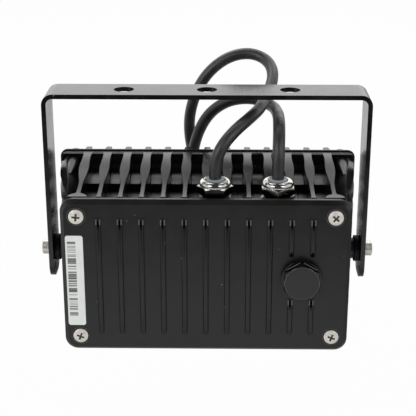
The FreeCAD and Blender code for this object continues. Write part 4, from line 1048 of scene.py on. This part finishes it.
def floor_material():
    """Pale floor that is white to the camera and in reflections, and keeps the object's shadow."""
    material = bpy.data.materials.new("pale_floor")
    material.use_nodes = True
    tree = material.node_tree
    tree.nodes.clear()
    rays = add(tree, "LightPath").outputs
    place = axes(tree)
    paint = add(tree, "BsdfDiffuse", {"Color": colour((0.82, 0.82, 0.81))}).outputs[0]
    through = add(tree, "BsdfTransparent").outputs[0]
    near = ramp(tree, place["Y"], -0.53, -0.34)
    dip = maths(tree, "SUBTRACT", near, ramp(tree, place["Y"], -0.25, -0.08, 0.0, 0.6))
    far = maths(tree, "ADD", dip, ramp(tree, place["Y"], 0.05, 0.35, 0.0, 0.55))
    fading = product(tree, far, ramp(tree, place["X"], 0.05, 0.45, 1.0, 0.4))
    dimming = product(tree, rays["Is Glossy Ray"], maths(tree, "SUBTRACT", 1.0, fading))
    strength = maths(tree, "SUBTRACT", 1.0, dimming)
    glow = add(tree, "Emission", {"Color": colour((1.0, 1.0, 1.0)), "Strength": strength}).outputs[0]
    white = maths(tree, "MAXIMUM", product(tree, direct_view(tree, rays), 0.95), rays["Is Glossy Ray"])
    top = add(tree, "MixShader", {0: white, 1: paint, 2: glow}).outputs[0]
    under = add(tree, "NewGeometry").outputs["Backfacing"]
    both = add(tree, "MixShader", {0: under, 1: top, 2: through}).outputs[0]
    feed(add(tree, "OutputMaterial").inputs["Surface"], both)
    material.cycles.emission_sampling = "NONE"
    return material


def floor(settings):
    """The floor, well below the lamp that hangs from its yoke."""
    half = 6.0
    level = CAD_BOX[0][2] - settings.floor_drop
    mesh = bpy.data.meshes.new("floor")
    corners = [(-half, -half, level), (half, -half, level), (half, half, level), (-half, half, level)]
    mesh.from_pydata(corners, [], [(0, 1, 2, 3)])
    mesh.materials.append(floor_material())
    linked("floor", mesh)


def camera(settings):
    """The camera of the photograph."""
    data = bpy.data.cameras.new("camera")
    data.lens = settings.focal_length
    data.sensor_width = 36.0
    data.shift_x = 0.0025
    eye = linked("camera", data)
    turn = math.atan2(settings.camera_side, settings.camera_back)
    eye.location = (settings.camera_side, -settings.camera_back, settings.camera_height)
    eye.rotation_euler = (math.pi / 2 - settings.camera_tilt, 0.0, turn)
    bpy.context.scene.camera = eye


# Operators, one for each group of pieces


class FLOODLIGHT_OT_effects(bpy.types.Operator):
    """Make the shader effects that the finishes share."""

    bl_idname = "floodlight.effects"
    bl_label = "Shared effects"

    def execute(self, context):
        grain_group()
        edge_group()
        dust_group()
        recess_shade_group()
        return {"FINISHED"}


class FLOODLIGHT_OT_leads(bpy.types.Operator):
    """Make both leads with their bared cores."""

    bl_idname = "floodlight.leads"
    bl_label = "Leads"

    def execute(self, context):
        sizes = context.scene.floodlight_leads
        rubber = sheath_rubber(context.scene.floodlight_finish.sheath_colour)
        copper = steel("tinned_copper", (0.8, 0.5, 0.32))
        lead("supply", SUPPLY_ROUTE, sizes, rubber, copper)
        lead("control", CONTROL_ROUTE, sizes, rubber, copper)
        dress(rubber, "supply_lead_inside", "control_lead_inside")
        inner = moulded("inner_cores", (0.02, 0.12, 0.42), 0.35)
        dress(inner, "supply_cores_inside", "control_cores_inside")
        return {"FINISHED"}


class FLOODLIGHT_OT_casting(bpy.types.Operator):
    """Coat the finned casting and the front frame."""

    bl_idname = "floodlight.casting"
    bl_label = "Casting"

    def execute(self, context):
        base = context.scene.floodlight_finish.casting_colour
        coat = powder_coat("casting_powder_coat", base, roughness=0.24, depth=0.03 * MM, waves=0.3)
        dress(coat, "heatsink_housing", "front_frame")
        # Painted shade: a near-black coat that barely reflects, for the fins' feet and for thin strips over
        # the box between the fins.
        painted_shade_matt = moulded("painted_shade_black", (0.002, 0.002, 0.002), 0.85, sheen=0.03)
        for finish, shapes in ((coat, (fin_necks, ledge_slopes, rim_lips)), (painted_shade_matt, (fin_feet, painted_shade_gaps))):
            for shape in shapes:
                new_form(shape.__name__, shape, finish, "casting_powder_coat")
        return {"FINISHED"}


class FLOODLIGHT_OT_cover(bpy.types.Operator):
    """Coat the rear cover, and finish its label, breather plug and gaskets."""

    bl_idname = "floodlight.cover"
    bl_label = "Rear cover"

    def execute(self, context):
        finish = context.scene.floodlight_finish
        slot = "cover_powder_coat"
        coat = powder_coat(slot, finish.cover_colour, roughness=0.35, depth=0.04 * MM, waves=0.2)
        # Painted highlights: a pale grey coat for the rings round the cover screws and the strokes at the
        # ribs' upper ends.
        wear_and_highlight = moulded("painted_highlight_coat", (0.095, 0.098, 0.1), 0.35)
        # Painted shade: the same near-black coat for the rings inside the screw seats and the marks between
        # the rib-end strokes.
        painted_shade_coat = bpy.data.materials["painted_shade_black"]
        # Painted highlights: a pale nylon for the lines on the plug's upper flats and round its face.
        lit_pale = moulded("painted_highlight_nylon", (0.15, 0.155, 0.16), 0.3)
        nylon = plug_nylon()
        # Stations of the painted highlight ring round each cover screw, then of the painted shade ring just
        # inside it.
        ring = ((0.3, 4.55), (-0.1, 4.6), (-0.25, 4.75), (-0.1, 4.92), (0.3, 4.97))
        painted_shade_ring = ((0.3, 4.1), (-0.04, 4.15), (-0.06, 4.3), (-0.04, 4.5), (0.3, 4.53))
        dress(coat, "driver_cover")
        new_form("cover_rib_beads", rib_beads, coat, slot)
        new_form("screw_seat_rings", screw_seat_rings, wear_and_highlight, slot, ring)
        new_form("rib_end_painted_highlights", rib_highlight_strokes, wear_and_highlight, slot)
        new_form("screw_seat_painted_shade", screw_seat_rings, painted_shade_coat, slot, painted_shade_ring)
        new_form("rib_end_painted_shade", rib_shade_darts, painted_shade_coat, slot)
        new_form("plug_highlight_lines", plug_highlight_lines, lit_pale, "breather_nylon")
        piece = new_form("chamfered_breather_plug", breather_plug, nylon, "breather_nylon")
        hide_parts("vent_plug")
        dress(nylon, "vent_plug_nut")
        dress(label_film(finish.label_colour), "cover_label")
        rubber = moulded("black_rubber", (0.016, 0.016, 0.016), 0.6)
        dress(rubber, "cover_gasket", "vent_plug_seal", "glass_gasket", "wire_grommet")
        dress(rubber, "supply_gland_washer", "control_gland_washer")
        return {"FINISHED"}


class FLOODLIGHT_OT_glands(bpy.types.Operator):
    """Plate the cable glands and finish their seals."""

    bl_idname = "floodlight.glands"
    bl_label = "Cable glands"

    def execute(self, context):
        nickel = plating("gland_plating", context.scene.floodlight_finish.plating_colour)
        seal = moulded("gland_seal_rubber", (0.33, 0.37, 0.4), 0.5)
        for side in ("supply", "control"):
            dress(nickel, side + "_gland_body", side + "_gland_nut", side + "_gland_locknut")
            dress(seal, side + "_gland_seal")
        return {"FINISHED"}


class FLOODLIGHT_OT_yoke(bpy.types.Operator):
    """Coat the yoke, make the knurled pivot screws and finish the spacers."""

    bl_idname = "floodlight.yoke"
    bl_label = "Yoke and pivot"

    def execute(self, context):
        finish = context.scene.floodlight_finish
        coat = powder_coat(
            "yoke_powder_coat",
            finish.yoke_colour,
            roughness=0.2,
            depth=0.012 * MM,
            waves=0.04,
            dust=0.002,
            edge_radius=0.2 * MM,
        )
        dress(coat, "bracket")
        nylon = moulded("spacer_nylon", (0.008, 0.008, 0.008), 0.5)
        piece = new_form("stepped_pivot_spacers", stepped_spacers, nylon, "spacer_nylon")
        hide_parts("pivot_spacers")
        bright = steel("pivot_steel", finish.steel_colour, metallic=0.6)
        sizes = context.scene.floodlight_screws
        piece = new_form("knurled_pivot_screws", pivot_screws, bright, "stainless_steel", sizes)
        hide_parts("pivot_screws")
        return {"FINISHED"}


class FLOODLIGHT_OT_screws(bpy.types.Operator):
    """Finish the screws that stay as they are."""

    bl_idname = "floodlight.screws"
    bl_label = "Screws"

    def execute(self, context):
        tint = context.scene.floodlight_finish.steel_colour
        plain = steel("stainless_steel", tint, roughness=0.4, metallic=0.4)
        dress(plain, "front_frame_screws", "led_board_screws", "driver_board_screws", "earth_screw")
        dress(crossed_steel(tint), "cover_screws")
        return {"FINISHED"}


class FLOODLIGHT_OT_front(bpy.types.Operator):
    """Finish the glass and the light engine behind it."""

    bl_idname = "floodlight.front"
    bl_label = "Light engine"

    def execute(self, context):
        dress(clear_glass("front_glass", (0.93, 0.97, 0.955)), "front_glass")
        dress(moulded("reflector_white", (0.72, 0.72, 0.7), 0.35), "reflector")
        dress(moulded("board_white", (0.62, 0.63, 0.62), 0.4), "led_board")
        dress(moulded("pad_grey", (0.3, 0.32, 0.35), 0.7), "thermal_pad")
        dress(led_packages(), "led_chips")
        dress(moulded("wire_red", (0.5, 0.02, 0.02), 0.35), "led_wire_positive")
        dress(moulded("wire_black", (0.02, 0.02, 0.02), 0.35), "led_wire_negative")
        return {"FINISHED"}


class FLOODLIGHT_OT_driver(bpy.types.Operator):
    """Finish what the driver box holds."""

    bl_idname = "floodlight.driver"
    bl_label = "Driver"

    def execute(self, context):
        dress(moulded("board_green", (0.03, 0.2, 0.08), 0.35), "driver_board")
        dress(moulded("winding_tape", (0.7, 0.5, 0.08), 0.3), "driver_transformer")
        dress(moulded("capacitor_sleeve", (0.02, 0.03, 0.08), 0.25), "driver_capacitors")
        dress(steel("choke_winding", (0.62, 0.27, 0.1)), "driver_choke")
        dress(moulded("transistor_case", (0.02, 0.02, 0.02), 0.5), "driver_transistors")
        dress(clear_glass("fuse_glass", (0.9, 0.92, 0.9)), "driver_fuse")
        dress(moulded("terminal_block", (0.04, 0.3, 0.12), 0.45), "driver_terminals")
        return {"FINISHED"}


class FLOODLIGHT_OT_stage(bpy.types.Operator):
    """Set up the floor, the light and the camera."""

    bl_idname = "floodlight.stage"
    bl_label = "Stage"

    def execute(self, context):
        settings = context.scene.floodlight_stage
        context.scene.view_settings.view_transform = "Standard"
        floor(settings)
        studio_world()
        softbox("backdrop_light", (0.0, 1.6, 0.5), 2.4, 0.7, 0.6)
        for side, radiance in ((-1, 2.3), (1, 2.0)):
            softbox("top_light", (0.45 * side, 0.65, 1.1), 0.75, 0.8, radiance)
        for side, radiance in ((-1, 2.7), (1, 1.7)):
            softbox("front_light", (0.95 * side, -1.1, 0.8), 0.7, 0.8, radiance)
        camera(settings)
        return {"FINISHED"}


OPERATORS = (
    FLOODLIGHT_OT_effects,
    FLOODLIGHT_OT_leads,
    FLOODLIGHT_OT_casting,
    FLOODLIGHT_OT_cover,
    FLOODLIGHT_OT_glands,
    FLOODLIGHT_OT_yoke,
    FLOODLIGHT_OT_screws,
    FLOODLIGHT_OT_front,
    FLOODLIGHT_OT_driver,
    FLOODLIGHT_OT_stage,
)
SETTINGS = {
    "floodlight_finish": FinishSettings,
    "floodlight_leads": LeadSettings,
    "floodlight_screws": ScrewSettings,
    "floodlight_stage": StageSettings,
}


class FLOODLIGHT_PT_looks(bpy.types.Panel):
    """The floodlight's settings and steps."""

    bl_idname = "FLOODLIGHT_PT_looks"
    bl_label = "Floodlight"
    bl_space_type = "VIEW_3D"
    bl_region_type = "UI"
    bl_category = "Floodlight"

    def draw(self, context):
        for name, group in SETTINGS.items():
            box = self.layout.box()
            for field in group.__annotations__:
                box.prop(getattr(context.scene, name), field)
        for operator in OPERATORS:
            self.layout.operator(operator.bl_idname)


def register():
    """Makes the settings, the operators and the panel known."""
    for name, group in SETTINGS.items():
        bpy.utils.register_class(group)
        setattr(bpy.types.Scene, name, PointerProperty(type=group))
    for operator in OPERATORS:
        bpy.utils.register_class(operator)
    bpy.utils.register_class(FLOODLIGHT_PT_looks)


def unregister():
    """Takes them away again."""
    bpy.utils.unregister_class(FLOODLIGHT_PT_looks)
    for operator in reversed(OPERATORS):
        bpy.utils.unregister_class(operator)
    for name, group in SETTINGS.items():
        delattr(bpy.types.Scene, name)
        bpy.utils.unregister_class(group)


def main():
    """Runs every step."""
    register()
    bpy.ops.floodlight.effects()
    bpy.ops.floodlight.leads()
    bpy.ops.floodlight.casting()
    bpy.ops.floodlight.cover()
    bpy.ops.floodlight.glands()
    bpy.ops.floodlight.yoke()
    bpy.ops.floodlight.screws()
    bpy.ops.floodlight.front()
    bpy.ops.floodlight.driver()
    bpy.ops.floodlight.stage()


if __name__ == "__main__":
    main()
